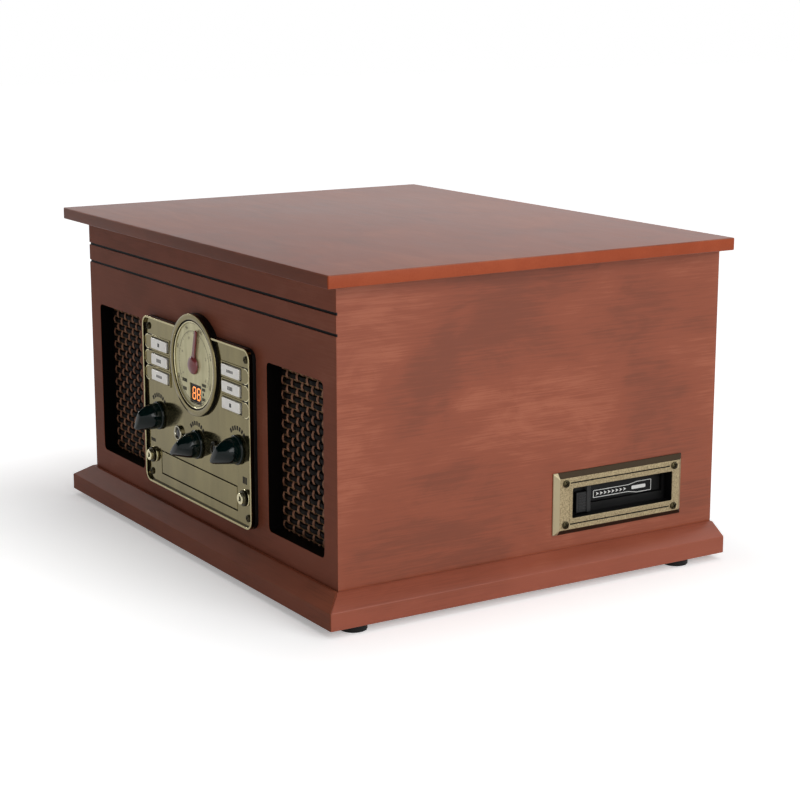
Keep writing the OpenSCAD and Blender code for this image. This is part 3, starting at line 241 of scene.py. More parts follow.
def takeShell(mesh):
    # points and faces of a mesh that is then removed
    points = np.empty(len(mesh.vertices) * 3)
    mesh.vertices.foreach_get("co", points)
    faces = [list(face.vertices) for face in mesh.polygons]
    bpy.data.meshes.remove(mesh)
    return points.reshape(-1, 3), faces


def numerals(text, size, thick=0.02):
    # flat outlines of a few digits, centred
    curve = bpy.data.curves.new("digits", "FONT")
    curve.body, curve.size, curve.extrude, curve.align_x, curve.align_y = text, size, thick, "CENTER", "CENTER"
    holder = bpy.data.objects.new("digits", curve)
    mesh = bpy.data.meshes.new_from_object(holder)
    bpy.data.objects.remove(holder)
    bpy.data.curves.remove(curve)
    return takeShell(mesh)


def linkObject(name, data):
    # object of the given data in the scene
    thing = bpy.data.objects.new(name, data)
    bpy.context.scene.collection.objects.link(thing)
    return thing


def finishPiece(name, body, material, mesh, replaces, edgeAngle, soft=0):
    # smooth shading up to the edge angle, a small bevel where asked, and the body that it rides on
    mesh.shade_smooth()
    mesh.set_sharp_from_angle(angle=math.radians(edgeAngle))
    mesh.materials.clear()
    mesh.materials.append(paints[material])
    piece = linkObject(name, mesh)
    if soft:
        edge = piece.modifiers.new("soft edges", "BEVEL")
        edge.width, edge.segments, edge.limit_method, edge.angle_limit = soft * mm, 2, "ANGLE", math.radians(40)
        edge.miter_outer, edge.harden_normals = "MITER_ARC", True
    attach(piece, body)
    if replaces:
        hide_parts(*replaces)
    return piece


def addPiece(face, origin, name, material, shells, body="cabinet", replaces=(), edgeAngle=35):
    # mesh object of shells drawn on a face about an origin in mm, doubles merged and faces turned outwards
    points, faces = joined(shells)
    mesh = bpy.data.meshes.new(name)
    mesh.from_pydata(onFace(points, origin, face).tolist(), [], faces)
    work = bmesh.new()
    work.from_mesh(mesh)
    bmesh.ops.remove_doubles(work, verts=work.verts, dist=2e-6)
    bmesh.ops.recalc_face_normals(work, faces=work.faces)
    work.to_mesh(mesh)
    work.free()
    return finishPiece(name, body, material, mesh, replaces, edgeAngle)


def dressNodes(looks):
    # every CAD node gets its finish: all over its own mesh, or, where a bevel in mm stands beside the finish,
    # on a merged copy whose flat faces are joined so that its edges can be rounded
    for name, look in looks.items():
        mesh = nodes[name].data
        if isinstance(look, str):
            mesh.materials.clear()
            mesh.materials.append(paints[look])
            continue
        mesh = mesh.copy()
        work = bmesh.new()
        work.from_mesh(mesh)
        bmesh.ops.remove_doubles(work, verts=work.verts, dist=2e-6)
        bmesh.ops.dissolve_limit(work, angle_limit=math.radians(0.5), verts=work.verts, edges=work.edges)
        work.to_mesh(mesh)
        work.free()
        if "custom_normal" in mesh.attributes:
            mesh.attributes.remove(mesh.attributes["custom_normal"])
        mesh.polygons.foreach_set("material_index", np.zeros(len(mesh.polygons), int))
        finishPiece(name + "_soft", nodes[name]["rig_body"], look[0], mesh, [name], 35, look[1])


def colour(code):
    # hexadecimal screen colour to linear light
    levels = np.array([int(code[i:i + 2], 16) for i in (0, 2, 4)]) / 255
    return (*np.where(levels <= 0.04045, levels / 12.92, ((levels + 0.055) / 1.055) ** 2.4).tolist(), 1.0)


def feed(sockets, values):
    # every value goes to its socket, by a link where it comes out of another node
    for key, value in values.items():
        if isinstance(value, bpy.types.NodeSocket):
            value.id_data.links.new(value, sockets[key])
        else:
            sockets[key].default_value = value


def place(kind, inputs, **settings):
    # shader node beside the nodes that its inputs come from, with its settings first
    tree = next(value.id_data for value in inputs.values() if isinstance(value, bpy.types.NodeSocket))
    node = tree.nodes.new(kind)
    for name, value in settings.items():
        setattr(node, name, value)
    feed(node.inputs, inputs)
    return node


def calc(operation, first, second=0.0, third=0.0):
    # one math node; the first value comes out of another node
    return place("ShaderNodeMath", {0: first, 1: second, 2: third}, operation=operation).outputs[0]


def times(first, second):
    # first times second
    return calc("MULTIPLY", first, second)


def timesAdd(first, second, third):
    # first times second, plus third
    return calc("MULTIPLY_ADD", first, second, third)


def minus(first, second):
    # first less second
    return calc("SUBTRACT", first, second)


def either(first, second):
    # the larger of two, so that a mask of both is 1 where one is
    return calc("MAXIMUM", first, second)


def vectorCalc(operation, first, second=(0, 0, 0)):
    # one vector math node; a length comes out as a number
    node = place("ShaderNodeVectorMath", {0: first, 1: second}, operation=operation)
    return node.outputs["Value" if operation == "LENGTH" else "Vector"]


def spread(value, low, high, toLow=0.0, toHigh=1.0, shape="SMOOTHSTEP"):
    # a value between two limits spread over two others
    return place("ShaderNodeMapRange", {0: value, 1: low, 2: high, 3: toLow, 4: toHigh},
                 interpolation_type=shape).outputs[0]


def blend(share, first, second):
    # the first colour where the share is 0, the second where it is 1
    return place("ShaderNodeMix", {0: share, 6: first, 7: second}, data_type="RGBA").outputs[2]


def noise(vector, scale, detail=3.0, rough=0.55, warp=0.0):
    # cloudy value between 0 and 1
    return place("ShaderNodeTexNoise", {"Vector": vector, "Scale": scale, "Detail": detail, "Roughness": rough,
                                        "Distortion": warp}).outputs["Fac"]


def above(value, limit):
    # 1 where a coordinate lies past a limit in mm, 0 elsewhere
    return calc("GREATER_THAN", value, limit * mm)


def below(value, limit):
    # 1 where a coordinate lies short of a limit in mm, 0 elsewhere
    return calc("LESS_THAN", value, limit * mm)


def bandMask(value, low, high):
    # 1 where a coordinate lies between two limits in mm, 0 elsewhere
    return times(above(value, low), below(value, high))


def away(value, centre=0):
    # distance of a coordinate from a centre in mm
    return calc("ABSOLUTE", minus(value, centre * mm))


def newGroup(name, inputs):
    # node group from the given inputs to a colour, a roughness and a height
    tree = bpy.data.node_groups.new(name, "ShaderNodeTree")
    for label, kind in inputs.items():
        tree.interface.new_socket(label, in_out="INPUT", socket_type="NodeSocket" + kind)
    for label, kind in (("Color", "Color"), ("Roughness", "Float"), ("Height", "Float")):
        tree.interface.new_socket(label, in_out="OUTPUT", socket_type="NodeSocket" + kind)
    return tree, tree.nodes.new("NodeGroupInput").outputs, tree.nodes.new("NodeGroupOutput").inputs


def makeWoodGroup():
    # stained veneer: half slow clouds, a quarter flame figure and a fifth fine streaks along X choose the tone
    # between dark, middle and light; short dark pores lie over it, and the height is streaks less pores
    tree, given, result = newGroup("stainedVeneer", {"Vector": "Vector", "Dark": "Color", "Middle": "Color",
                                                     "Light": "Color", "Figure": "Float"})

    def drawn(vector, length, *settings):
        # noise drawn out along X
        return noise(vectorCalc("MULTIPLY", vector, (length, 1.0, 1.0)), *settings)

    warp = noise(given["Vector"], 7.0, 2.0)
    lift = place("ShaderNodeCombineXYZ", {0: warp, 1: warp, 2: warp}).outputs[0]
    bent = vectorCalc("ADD", given["Vector"], vectorCalc("MULTIPLY", lift, (0.0, 0.05, 0.05)))
    clouds = drawn(bent, 0.85, 10.0, 3.0, 0.55, 0.4)
    flame = drawn(bent, 0.3, 45.0, 4.0, 0.6, 0.8)
    streaks = drawn(given["Vector"], 0.035, 800.0, 3.0, 0.6)
    pores = spread(drawn(bent, 0.06, 1900.0, 2.0, 0.5), 0.62, 0.72)
    fine = timesAdd(spread(flame, 0.3, 0.7), 0.25, times(spread(streaks, 0.3, 0.7), 0.22))
    tone = timesAdd(spread(clouds, 0.3, 0.7), 0.5, fine)
    tone = timesAdd(minus(tone, 0.5), given["Figure"], 0.5)
    shade = blend(spread(tone, 0.12, 0.5), given["Dark"], given["Middle"])
    shade = blend(spread(tone, 0.5, 0.9), shade, given["Light"])
    feed(result, {"Color": blend(times(pores, 0.3), shade, given["Dark"]),
                  "Roughness": timesAdd(streaks, 0.12, times(clouds, 0.08)),
                  "Height": minus(times(streaks, 0.5), pores)})
    return tree


def makeMottleGroup():
    # cloudy change between two tones with fine speckles, for metal, plastic, rubber and paper
    tree, given, result = newGroup("mottledTone", {
        "Vector": "Vector", "First": "Color", "Second": "Color", "Cloud Scale": "Float", "Grain Scale": "Float",
        "Rough": "Float", "Rough Spread": "Float"})
    clouds = noise(given["Vector"], given["Cloud Scale"], 4.0, 0.6, 0.3)
    grain = noise(given["Vector"], given["Grain Scale"], 3.0, 0.6)
    share = timesAdd(spread(clouds, 0.3, 0.7), 0.7, times(grain, 0.3))
    feed(result, {"Color": blend(share, given["First"], given["Second"]),
                  "Roughness": timesAdd(minus(clouds, 0.5), given["Rough Spread"], given["Rough"]),
                  "Height": timesAdd(grain, 0.7, times(clouds, 0.3))})
    return tree


woodGroup = makeWoodGroup()
mottleGroup = makeMottleGroup()
paints = {}  # every material by its name


def newMaterial(name):
    # Object coordinates and the inputs of the shader of a new material
    paints[name] = bpy.data.materials.new(name)
    paints[name].use_nodes = True
    tree = paints[name].node_tree
    tree.nodes.clear()
    shader = tree.nodes.new("ShaderNodeBsdfPrincipled")
    tree.links.new(shader.outputs[0], tree.nodes.new("ShaderNodeOutputMaterial").inputs[0])
    return tree.nodes.new("ShaderNodeTexCoord").outputs["Object"], shader.inputs


def dress(shader, where, shade, rough, height, bump, depth, layers=None, metal=0.0, gloss=0.5, coat=0.0):
    # the shade with other tones over it where the layers' masks are above 0, its gloss and its fine surface
    if layers:
        for mask, code in layers(place("ShaderNodeSeparateXYZ", {0: where}).outputs):
            shade = blend(mask, shade, colour(code))
    normal = place("ShaderNodeBump", {"Height": height, "Strength": bump, "Distance": depth * mm}).outputs[0]
    feed(shader, {"Base Color": shade, "Roughness": rough, "Normal": normal, "Metallic": metal,
                  "Specular IOR Level": gloss, "Coat Weight": coat})


def makeWood(name, dark, middle, light, turn=0, rough=0.38, figure=1.0, offset=(0, 0, 0), **extras):
    # veneer whose grain runs along X before the turn about Z, in degrees
    where, shader = newMaterial(name)
    turned = place("ShaderNodeMapping", {"Vector": where, "Rotation": (0, 0, math.radians(turn)),
                                         "Location": offset}).outputs[0]
    veneer = place("ShaderNodeGroup", {"Vector": turned, "Dark": colour(dark), "Middle": colour(middle),
                                       "Light": colour(light), "Figure": figure}, node_tree=woodGroup).outputs
    dress(shader, where, veneer["Color"], calc("ADD", veneer["Roughness"], rough - 0.1), veneer["Height"],
          0.25, 0.06, **extras)


def mottle(where, first, second, cloudScale, grainScale, rough, roughSpread):
    # the mottled tone's colour, roughness and height at a place
    return place("ShaderNodeGroup", {
        "Vector": where, "First": colour(first), "Second": colour(second), "Cloud Scale": cloudScale,
        "Grain Scale": grainScale, "Rough": rough, "Rough Spread": roughSpread}, node_tree=mottleGroup).outputs


def finish(name, first, second, rough, roughSpread=0.1, cloudScale=30.0, grainScale=900.0, bump=0.2, depth=0.05,
           scale=(1, 1, 1), **extras):
    # two mottled tones with uneven gloss and a fine surface of the given depth in mm
    where, shader = newMaterial(name)
    tone = mottle(vectorCalc("MULTIPLY", where, scale), first, second, cloudScale, grainScale, rough, roughSpread)
    dress(shader, where, tone["Color"], tone["Roughness"], tone["Height"], bump, depth, **extras)


# places of paint on the wood, in mm: black in the grooves' walls, and painted shade and light on the lid's edges
groove = {"frontY": -154.975, "z": (212.6, 198.6), "half": 0.95, "deep": 1.1, "dark": "0b0908", "boardTop": 226}
lidEdgeShadeAndLight = {"below": 240.3, "frontY": -169.2, "sideX": 214.3, "share": 0.75, "front": "6a3522", "side": "9c4527"}


def frontPaint(at):
    # everything behind the front face, below the board's top edge
    behind = bandMask(at[1], groove["frontY"] + 0.3, 0)
    return [(times(behind, bandMask(at[2], 0, groove["boardTop"])), groove["dark"])]


def groovePaint(at):
    # the two groove ends in a side panel's front edge
    ends = [bandMask(at[2], z - groove["half"], z + groove["half"]) for z in groove["z"]]
    depth = bandMask(at[1], groove["frontY"] + 0.05, groove["frontY"] + groove["deep"])
    return [(times(depth, calc("ADD", *ends)), groove["dark"])]


def lidEdges(at):
    # painted shade on the lid's front edge, and painted light, brighter and redder, on its two side edges
    share = times(bandMask(at[2], 0, lidEdgeShadeAndLight["below"]), lidEdgeShadeAndLight["share"])
    return [(times(share, below(at[1], lidEdgeShadeAndLight["frontY"])), lidEdgeShadeAndLight["front"]),
            (times(share, above(away(at[0]), lidEdgeShadeAndLight["sideX"])), lidEdgeShadeAndLight["side"])]


makeWood("woodSide", "7b412d", "8d4a33", "a25c43", -90, 0.36, layers=groovePaint, gloss=0.3)
makeWood("woodPlinthSide", "83432f", "934d38", "a25c45", -90, figure=0.7, offset=(0.4, 0.1, 0.2), gloss=0.3)
makeWood("woodFront", "7d4531", "8b4e3a", "995b46", figure=0.8, offset=(0.3, 0.2, 0.7), layers=frontPaint,
         gloss=0.038)
makeWood("woodPlinthFront", "79422d", "884a34", "96563f", figure=0.8, offset=(0.3, 0.2, 0.7), gloss=0.045)
makeWood("woodLid", "753a26", "86452f", "95533a", rough=0.4, offset=(0.1, 0.5, 0.3), gloss=0.39)
makeWood("woodLidEdge", "7c4430", "91503a", "a85e42", figure=1.6, offset=(0.1, 0.5, 0.3), layers=lidEdges,
         gloss=0.1)
makeWood("woodBare", "8f6b45", "a9845a", "c2a074", 90, 0.6)

# the golden face plate, its rim, and the pads that the keys stand on
# the dark tone is black paint outside the rim and painted shade inside it and past the pads' ends; the rim's tone
# is a painted highlight
panel = {"centreZ": 105.7, "rimHeight": 2.1, "dialZ": 146.0, "wallX": 86.2, "wallZ": 63.6, "back": -150,
         "rimBase": -160.3, "rimTop": -163, "blackAndShade": "15110a", "rimHighlight": "b8ad84"}
pads = {"centreX": 80.2, "centreZ": 139.0, "pitch": 12.2, "radius": 5.4, "rimWide": 0.6, "rimLow": 0.75,
        "rimHigh": 1.05, "zoneX": (74, 87)}
padLow = pads["centreZ"] - 1.5 * pads["pitch"]


def panelLayers(at):
    # black paint on the walls outside the rim, painted shade on the rim's inner walls and in the corners past the
    # round ends of the key pads, a painted highlight on the rim; a pad's end is where sqrt(across^2 + along^2)
    # about its centre is less than its radius
    side = away(at[0])
    edge = either(above(side, panel["wallX"]), above(away(at[2], panel["centreZ"]), panel["wallZ"]))
    row = calc("WRAP", minus(at[2], padLow * mm), pads["pitch"] * mm, 0.0)
    across = minus(row, pads["pitch"] / 2 * mm)
    along = either(minus(side, pads["centreX"] * mm), 0.0)
    reach = calc("SQRT", calc("ADD", times(across, across), times(along, along)))
    zone = times(bandMask(side, *pads["zoneX"]), bandMask(at[2], padLow, padLow + 3 * pads["pitch"]))
    gaps = times(zone, above(reach, pads["radius"] + 0.1))
    walls = times(either(edge, gaps), bandMask(at[1], panel["rimBase"], panel["back"]))
    return [(walls, panel["blackAndShade"]), (bandMask(at[1], panel["rimTop"], panel["rimBase"]), panel["rimHighlight"])]


# the cassette bezel: its middle, half sizes and slopes, and the tones of its painted shade, painted highlight and
# black walls
bezel = {"y": 78.775, "z": 59.65, "halfY": 58.25, "halfZ": 22.75, "slope": 3.9, "front": 203.0, "slotY": 81.025,
         "slotHalfY": 45.6, "slotHalfZ": 11.1, "tones": ("2e2008", "231a0f", "aea383", "060606")}


def bezelLayers(at):
    # painted shade on the upper and lower slopes, a painted highlight on the left one, and black walls inside the
    # opening
    slot = times(below(away(at[1], bezel["slotY"]), bezel["slotHalfY"]),
                 below(away(at[2], bezel["z"]), bezel["slotHalfZ"]))
    steep = below(at[0], bezel["front"] - 0.12)
    inY, inZ = bezel["halfY"] - bezel["slope"], bezel["halfZ"] - bezel["slope"]
    masks = (times(steep, bandMask(at[2], bezel["z"] + inZ, 300)),
             times(steep, bandMask(at[2], 0, bezel["z"] - inZ)),
             times(steep, bandMask(at[1], 0, bezel["y"] - inY)),
             times(slot, below(at[0], bezel["front"] - 0.35)))
    return list(zip(masks, bezel["tones"]))


# tones, roughness and its spread, cloud and grain scale, bump strength and depth
finish("boardDark", "2a211c", "3a2e27", 0.6, 0.15, 24, 1200, 0.3, 0.08)
finish("brassPanel", "786e4b", "8d8259", 0.1, 0.04, 22, 1500, 0.03, 0.01, (3, 1, 0.35), layers=panelLayers,
       metal=0.9)
finish("brassRing", "776d4d", "8d825e", 0.2, 0.06, 40, 900, 0.05, 0.02, metal=0.9)
finish("brassBezel", "706247", "baa984", 0.45, 0.15, 900, 2600, 0.6, 0.15, layers=bezelLayers, metal=0.6)
finish("brassLip", "6e6045", "b5a582", 0.45, 0.15, 900, 2600, 0.6, 0.15, metal=0.6)
# bright brass on the jack pipes, and a painted highlight on the dial's bead and the key pads' rims
finish("brassBrightAndHighlight", "d4cba2", "e4dcb8", 0.18, 0.06, 60, 1500, 0.05, 0.02, metal=0.9)
finish("brassFittings", "96793c", "b39450", 0.34, 0.1, 60, 1500, 0.1, 0.03, metal=0.9)
finish("screwBrass", "2c2718", "4c4530", 0.35, 0.1, 300, 1500, 0.1, 0.03, metal=0.9)
finish("nickel", "a29d8b", "b8b3a1", 0.15, 0.06, 80, 900, 0.04, 0.02, metal=1.0)
finish("nickelDark", "2c291c", "454030", 0.22, 0.08, 80, 900, 0.06, 0.02, metal=1.0)
finish("steelSheet", "85888b", "9a9da0", 0.35, 0.12, 40, 1800, 0.1, 0.03, (1, 8, 1), metal=1.0)
finish("coreSteel", "3c3a36", "57534d", 0.55, 0.15, 60, 1400, 0.3, 0.08, (1, 1, 12), metal=0.6)
finish("platterGrey", "a5a8aa", "b7babc", 0.32, 0.08, 40, 1200, 0.08, 0.03, metal=0.95)
finish("metalDark", "1b1c1e", "26282a", 0.5)
finish("plasticBlack", "090909", "101010", 0.42, 0.1, 40, 2600, 0.3, 0.06, gloss=0.15)
finish("glossBlack", "120806", "1c0c08", 0.14, 0.04, 40, 900, 0.02, 0.01, gloss=0.1)
finish("knobGloss", "031110", "071b1a", 0.1, 0.04, 60, 900, 0.02, 0.02, gloss=0.26)
finish("keyWhite", "eeeae4", "f7f4ec", 0.3, 0.06, 90, 1500, 0.05, 0.02, metal=0.45)
finish("dialCream", "c8c08e", "efe6b4", 0.26, 0.08, 18, 800, 0.04, 0.02, (6, 1, 1.5), metal=0.25)
finish("dialInk", "5a503a", "685e46", 0.5)
finish("lineDark", "120f09", "1e1912", 0.5, gloss=0.1)
finish("pointerRed", "7a2f30", "8e3a3a", 0.3, 0.08, 60, 900, 0.05, 0.02, coat=0.4)
finish("holeBlack", "030303", "060606", 0.6)
finish("lensDark", "05060a", "0c0e14", 0.08, 0.03, gloss=0.3)
finish("ejectGrey", "161616", "202020", 0.35, 0.1, 40, 2600, 0.3, 0.06, gloss=0.3)
finish("trayBlack", "151515", "1e1e1e", 0.3, 0.08, 40, 2600, 0.1, 0.03)
finish("armBlack", "151516", "1f1f21", 0.25, 0.08)
finish("deckBlack", "111110", "191918", 0.55, 0.1, 40, 2400, 0.6, 0.1)
finish("rubberBlack", "0c0c0c", "151515", 0.65, 0.1, 60, 2400, 0.4, 0.08, gloss=0.2)
finish("weaveTan", "80523a", "bb886c", 0.55, 0.1, 320, 2600, 0.5, 0.1, gloss=0.2)
finish("weaveDark", "080605", "140d09", 0.45, 0.1, 320, 2600, 0.5, 0.1, gloss=0.06)
finish("conePaper", "141414", "1f1f1f", 0.8, 0.1, 60, 1800, 0.8, 0.2)
finish("cordPale", "b9b29a", "cfc8b2", 0.7)
finish("gearWhite", "cfcabb", "dcd8ca", 0.45)
finish("greenBoard", "16452a", "1f5a36", 0.4, 0.1, 160, 1600, 0.2, 0.05)
finish("redPlastic", "7e1512", "99201b", 0.35)
finish("whitePlastic", "c8c8c4", "dcdcd8", 0.35)
finish("markWhite", "d2d2cf", "e6e6e2", 0.5)
finish("matPrint", "6e6e6a", "7e7e7a", 0.7)


def makeGlow(name, first, second, strength):
    # lit segments: the same tone from themselves as from the light on them
    where, shader = newMaterial(name)
    tone = blend(noise(where, 900.0), colour(first), colour(second))
    feed(shader, {"Base Color": tone, "Emission Color": tone, "Emission Strength": strength, "Roughness": 0.4})


def makeMat(name, first, second, centre, pitch):
    # rubber with rings about a centre: the bump's height is the sine of the distance to the axis
    where, shader = newMaterial(name)
    flat = vectorCalc("MULTIPLY", vectorCalc("SUBTRACT", where, centre), (1, 1, 0))
    rings = calc("SINE", times(vectorCalc("LENGTH", flat), 2 * math.pi / (pitch * mm)))
    tone = mottle(where, first, second, 60.0, 2600.0, 0.7, 0.1)
    dress(shader, where, tone["Color"], tone["Roughness"], timesAdd(rings, 0.5, tone["Height"]), 0.5, 0.4)


makeGlow("displayGlow", "ff7420", "ffb060", 1.3)
print("materials made:", len(paints))

dressNodes({"front_board": ("woodFront", 0.35), "left_side_panel": ("woodSide", 0.35),
            "right_side_panel": ("woodSide", 0.35), "plinth_front": ("woodPlinthFront", 0.6),
            "plinth_left": ("woodPlinthSide", 0.6), "plinth_right": ("woodPlinthSide", 0.6),
            "back_panel": "boardDark", "bottom_board": "boardDark", "corner_blocks": "woodBare",
            "speaker_boards": "woodBare"})
lidBoard = {"edge": 0.7, "corner": 1.2, "steepest": 0.6}
low, high, middle = boxOf("lid_board")
lidShell = plate(roundRect(*(high - low)[:2], lidBoard["corner"]), softStops(0, (high - low)[2], lidBoard["edge"]))
lid = addPiece(topFace, (*middle[:2], low[2]), "lid", "woodLid", [lidShell], "lid", ["lid_board"])
# the four edges of the lid, where a face's normal doesn't point up or down, have their own duller veneer, with
# painted shade on the front edge and painted light on the two side edges
lid.data.materials.append(paints["woodLidEdge"])
normals = np.empty(len(lid.data.polygons) * 3)
lid.data.polygons.foreach_get("normal", normals)
lid.data.polygons.foreach_set("material_index", (np.abs(normals[2::3]) < lidBoard["steepest"]).astype(int))

feet = {"radius": 9.5, "height": 5.0, "edge": 1.0}
low, high, _ = boxOf("rubber_feet")
radius, edge, tall = feet["radius"], feet["edge"], feet["height"]
foot = revolve([(0, 0), (radius - edge, 0), (radius - 0.3, 0.3), (radius, edge), (radius, tall), (0, tall)], 40)
addPiece(topFace, (0, 0, 0), "feet", "rubberBlack",
         [moved(foot, (x, y, 0)) for x in (low[0] + radius, high[0] - radius)
          for y in (low[1] + radius, high[1] - radius)], replaces=["rubber_feet"])
print("cabinet made")

# strands of the grilles: tan ones upright, wider dark ones across
weave = {"columnPitch": 7.1, "rowPitch": 5.2, "depth": 0.8, "tanWidth": 2.6, "darkWidth": 3.9, "tanThick": 0.5,
         "darkThick": 1.1, "corners": 8, "steps": 5, "margin": 1.0}


def weaveStrands(width, height, pitchAcross, pitchAlong, strandWidth, thick, phase, swap):
    # oval strand k at u = k*pitch, whose height rises and falls as depth*cos(pi*(v/pitchAlong + k + phase))
    across = np.arange(-width / 2 + pitchAcross / 2, width / 2, pitchAcross)
    along = np.linspace(-height / 2, height / 2, int(height / pitchAlong) * weave["steps"] + 1)
    angle = circle(weave["corners"])
    wave = np.cos(math.pi * (along[None, :, None] / pitchAlong + np.arange(len(across))[:, None, None] + phase))
    w = weave["depth"] * wave + thick * np.sin(angle)
    u = np.broadcast_to(across[:, None, None] + strandWidth / 2 * np.cos(angle), w.shape)
    v = np.broadcast_to(along[None, :, None], w.shape)
    return [stackRings(strand) for strand in np.stack([v, u, w] if swap else [u, v, w], -1)]


for side in ("left", "right"):
    low, high, middle = boxOf(side + "_grille_weave")
    width, _, height = high - low - weave["margin"]
    column, row = weave["columnPitch"], weave["rowPitch"]
    rows, columns = math.floor(height / row), math.floor(width / column)
    tall = weaveStrands(columns * column, rows * row, column, row, weave["tanWidth"], weave["tanThick"],
                        rows / 2 + 0.5, False)
    wide = weaveStrands(rows * row, columns * column, row, column, weave["darkWidth"], weave["darkThick"],
                        columns / 2 + 1.5, True)
    addPiece(frontFace, middle, side + "GrilleTan", "weaveTan", tall, replaces=[side + "_grille_weave"])
    addPiece(frontFace, middle, side + "GrilleDark", "weaveDark", wide)
dressNodes({"speaker_baskets": "metalDark", "speaker_cones": "conePaper"})
print("grilles woven")

faceY = boxOf("panel_face")[0][1] + panel["rimHeight"]
dressNodes({"panel_face": ("brassPanel", 0.3), "drawer_front": ("brassPanel", 0.4),
            "panel_housing": ("plasticBlack", 0.3), "dial_face": "dialCream", "digit_display": "glossBlack",
            "dial_cord": "cordPale"})

# the dial's ring with its dark collar behind, a bright bead on the face that is a painted highlight of the ring's
# inner wall, and a dark ring round it that is painted shade in the gap
dial = {"outer": 38.0, "inner": 33.6, "face": 0.95, "bead": 32.0, "beadHalf": 0.5, "gap": 1.3, "round": 0.35}
low, high, _ = boxOf("dial_ring")
tall = high[1] - low[1]
front = tall - dial["face"]
outer, inner, soft = dial["outer"], dial["inner"], dial["round"]
dialY = boxOf("dial_face")[0][1]
ringPlace, dialPlace = (0, high[1], panel["dialZ"]), (0, dialY, panel["dialZ"])
turn = circle(12)
bead = np.column_stack([dial["bead"] + dial["beadHalf"] * np.cos(turn), dial["beadHalf"] * np.sin(turn)])
addPiece(frontFace, ringPlace, "dialRing", "brassRing", [roundFrame([
    (outer - 0.2, front), (outer, front + 0.15), (outer, tall - soft), (outer - soft, tall), (inner + 0.5, tall),
    (inner, tall - soft), (inner, front)])], replaces=["dial_ring"], edgeAngle=50)
addPiece(frontFace, ringPlace, "dialCollar", "plasticBlack",
         [roundFrame([(outer - 0.1, 0), (outer - 0.1, front), (inner, front), (inner, 0)])])
addPiece(frontFace, (0, dialY - 0.4, panel["dialZ"]), "dialBeadHighlight", "brassBrightAndHighlight", [roundFrame(bead)], edgeAngle=60)
addPiece(frontFace, dialPlace, "dialGapShade", "lineDark", [roundFrame([
    (inner - dial["gap"], -0.1), (inner - dial["gap"], 0.15), (inner + 0.1, 0.15), (inner + 0.1, -0.1)])])

# the printed face: ticks, numbers and arcs
scale = {"start": 205.0, "end": -25.0, "rows": ((("88", "92", "96", "100", "104", "108"), 28.5, 4.0),
                                                (("6", "8", "10", "12", "14", "16"), 20.5, 2.8)),
         "ticks": 41, "tickFrom": 24.2, "longFrom": 23.2, "tickTo": 25.2, "line": 0.3, "rim": 31.0, "rimLine": 0.25,
         "sweep": (212, -32), "arcs": (27.8, 29.3, 30.6), "arcLine": 0.5, "arcSweep": (205, 300)}
marks = [arcBar(radius, width, *scale["sweep"], steps=64)
         for radius, width in ((scale["tickTo"], scale["line"]), (scale["rim"], scale["rimLine"]))]
for texts, radius, size in scale["rows"]:
    for text, turn in zip(texts, np.linspace(scale["start"], scale["end"], len(texts))):
        marks.append(moved(numerals(text, size), (*polar(radius, turn), 0.03), turn - 90))
for number, turn in enumerate(np.linspace(scale["start"], scale["end"], scale["ticks"])):
    inner = scale["tickFrom"] if number % 4 else scale["longFrom"]
    marks.append(bar(polar(inner, turn), polar(scale["tickTo"], turn), scale["line"], 0, inkHigh))
marks += [arcBar(radius, scale["arcLine"], *scale["arcSweep"], steps=40) for radius in scale["arcs"]]
addPiece(frontFace, dialPlace, "dialMarks", "dialInk", marks)


# rows of small upright blocks; each row: x, z, the blocks' widths, their height
labels = {"gap": 0.45, "knobs": ((-81, -21.5, (1.8, 1.4, 1.8, 1.4), 2.6), (72, -20.5, (1.9, 1.6, 1.9), 5.0)),
          "dial": ((-20, -13.8, (1.7, 1.4, 1.7, 1.5), 2.6), (-19, -20.2, (1.5, 1.8, 1.4), 2.6),
                   (12.2, -12.8, (1.4, 1.6, 1.4, 1.2), 2.2), (12.2, -16.2, (1.6, 1.4, 1.3), 2.2),
                   (13.2, -19.8, (2.0,), 2.2), (12.2, -23.5, (1.4, 1.6, 1.2), 2.2)),
          "rear": ((-11.5, 10, (1.4, 1.2, 1.6), 2.2), (6.5, 10, (1.4, 1.2, 1.6), 2.2),
                   (37, 12, (1.6, 1.2, 1.4, 1.6), 2.2))}


def dashes(rows):
    # the blocks of some rows, each block a gap after the last one
    shells = []
    for x, z, widths, tall in rows:
        edges = x + np.concatenate([[0], np.cumsum(np.array(widths) + labels["gap"])])
        shells += [bar((left, z), (left + width, z), tall, 0, inkHigh) for left, width in zip(edges, widths)]
    return shells


addPiece(frontFace, dialPlace, "dialLabels", "lineDark", dashes(labels["dial"]))

# two seven-segment digits on the black window
digits = {"height": 8.6, "width": 4.6, "thick": 1.0, "gap": 0.16, "slant": 0.1, "space": 7.4,
          "lit": ("bcdefga", "abcdefg")}


def segmentShells(lit, shift):
    # each segment is a bar with pointed ends between two corners of the figure eight
    w, h, half = digits["width"] / 2, digits["height"] / 2, digits["thick"] / 2
    corners = {"a": ((-w, h), (w, h)), "b": ((w, h), (w, 0)), "c": ((w, 0), (w, -h)), "d": ((-w, -h), (w, -h)),
               "e": ((-w, 0), (-w, -h)), "f": ((-w, h), (-w, 0)), "g": ((-w, 0), (w, 0))}
    shells = []
    for key in lit:
        start, end = [np.array(corner, float) for corner in corners[key]]
        along, across = sideways(start, end)
        start, end = start + along * digits["gap"], end - along * digits["gap"]
        tip, across = along * half, across * half
        outline = np.array([start, start + tip - across, end - tip - across, end, end - tip + across,
                            start + tip + across])
        points, faces = block(outline, 0, 0.08)
        points[:, 0] += points[:, 1] * digits["slant"] + shift
        shells.append((points, faces))
    return shells


low, _, middle = boxOf("digit_display")
half = digits["space"] / 2
addPiece(frontFace, (middle[0], low[1], middle[2]), "displaySegments", "displayGlow",
         segmentShells(digits["lit"][0], -half) + segmentShells(digits["lit"][1], half))

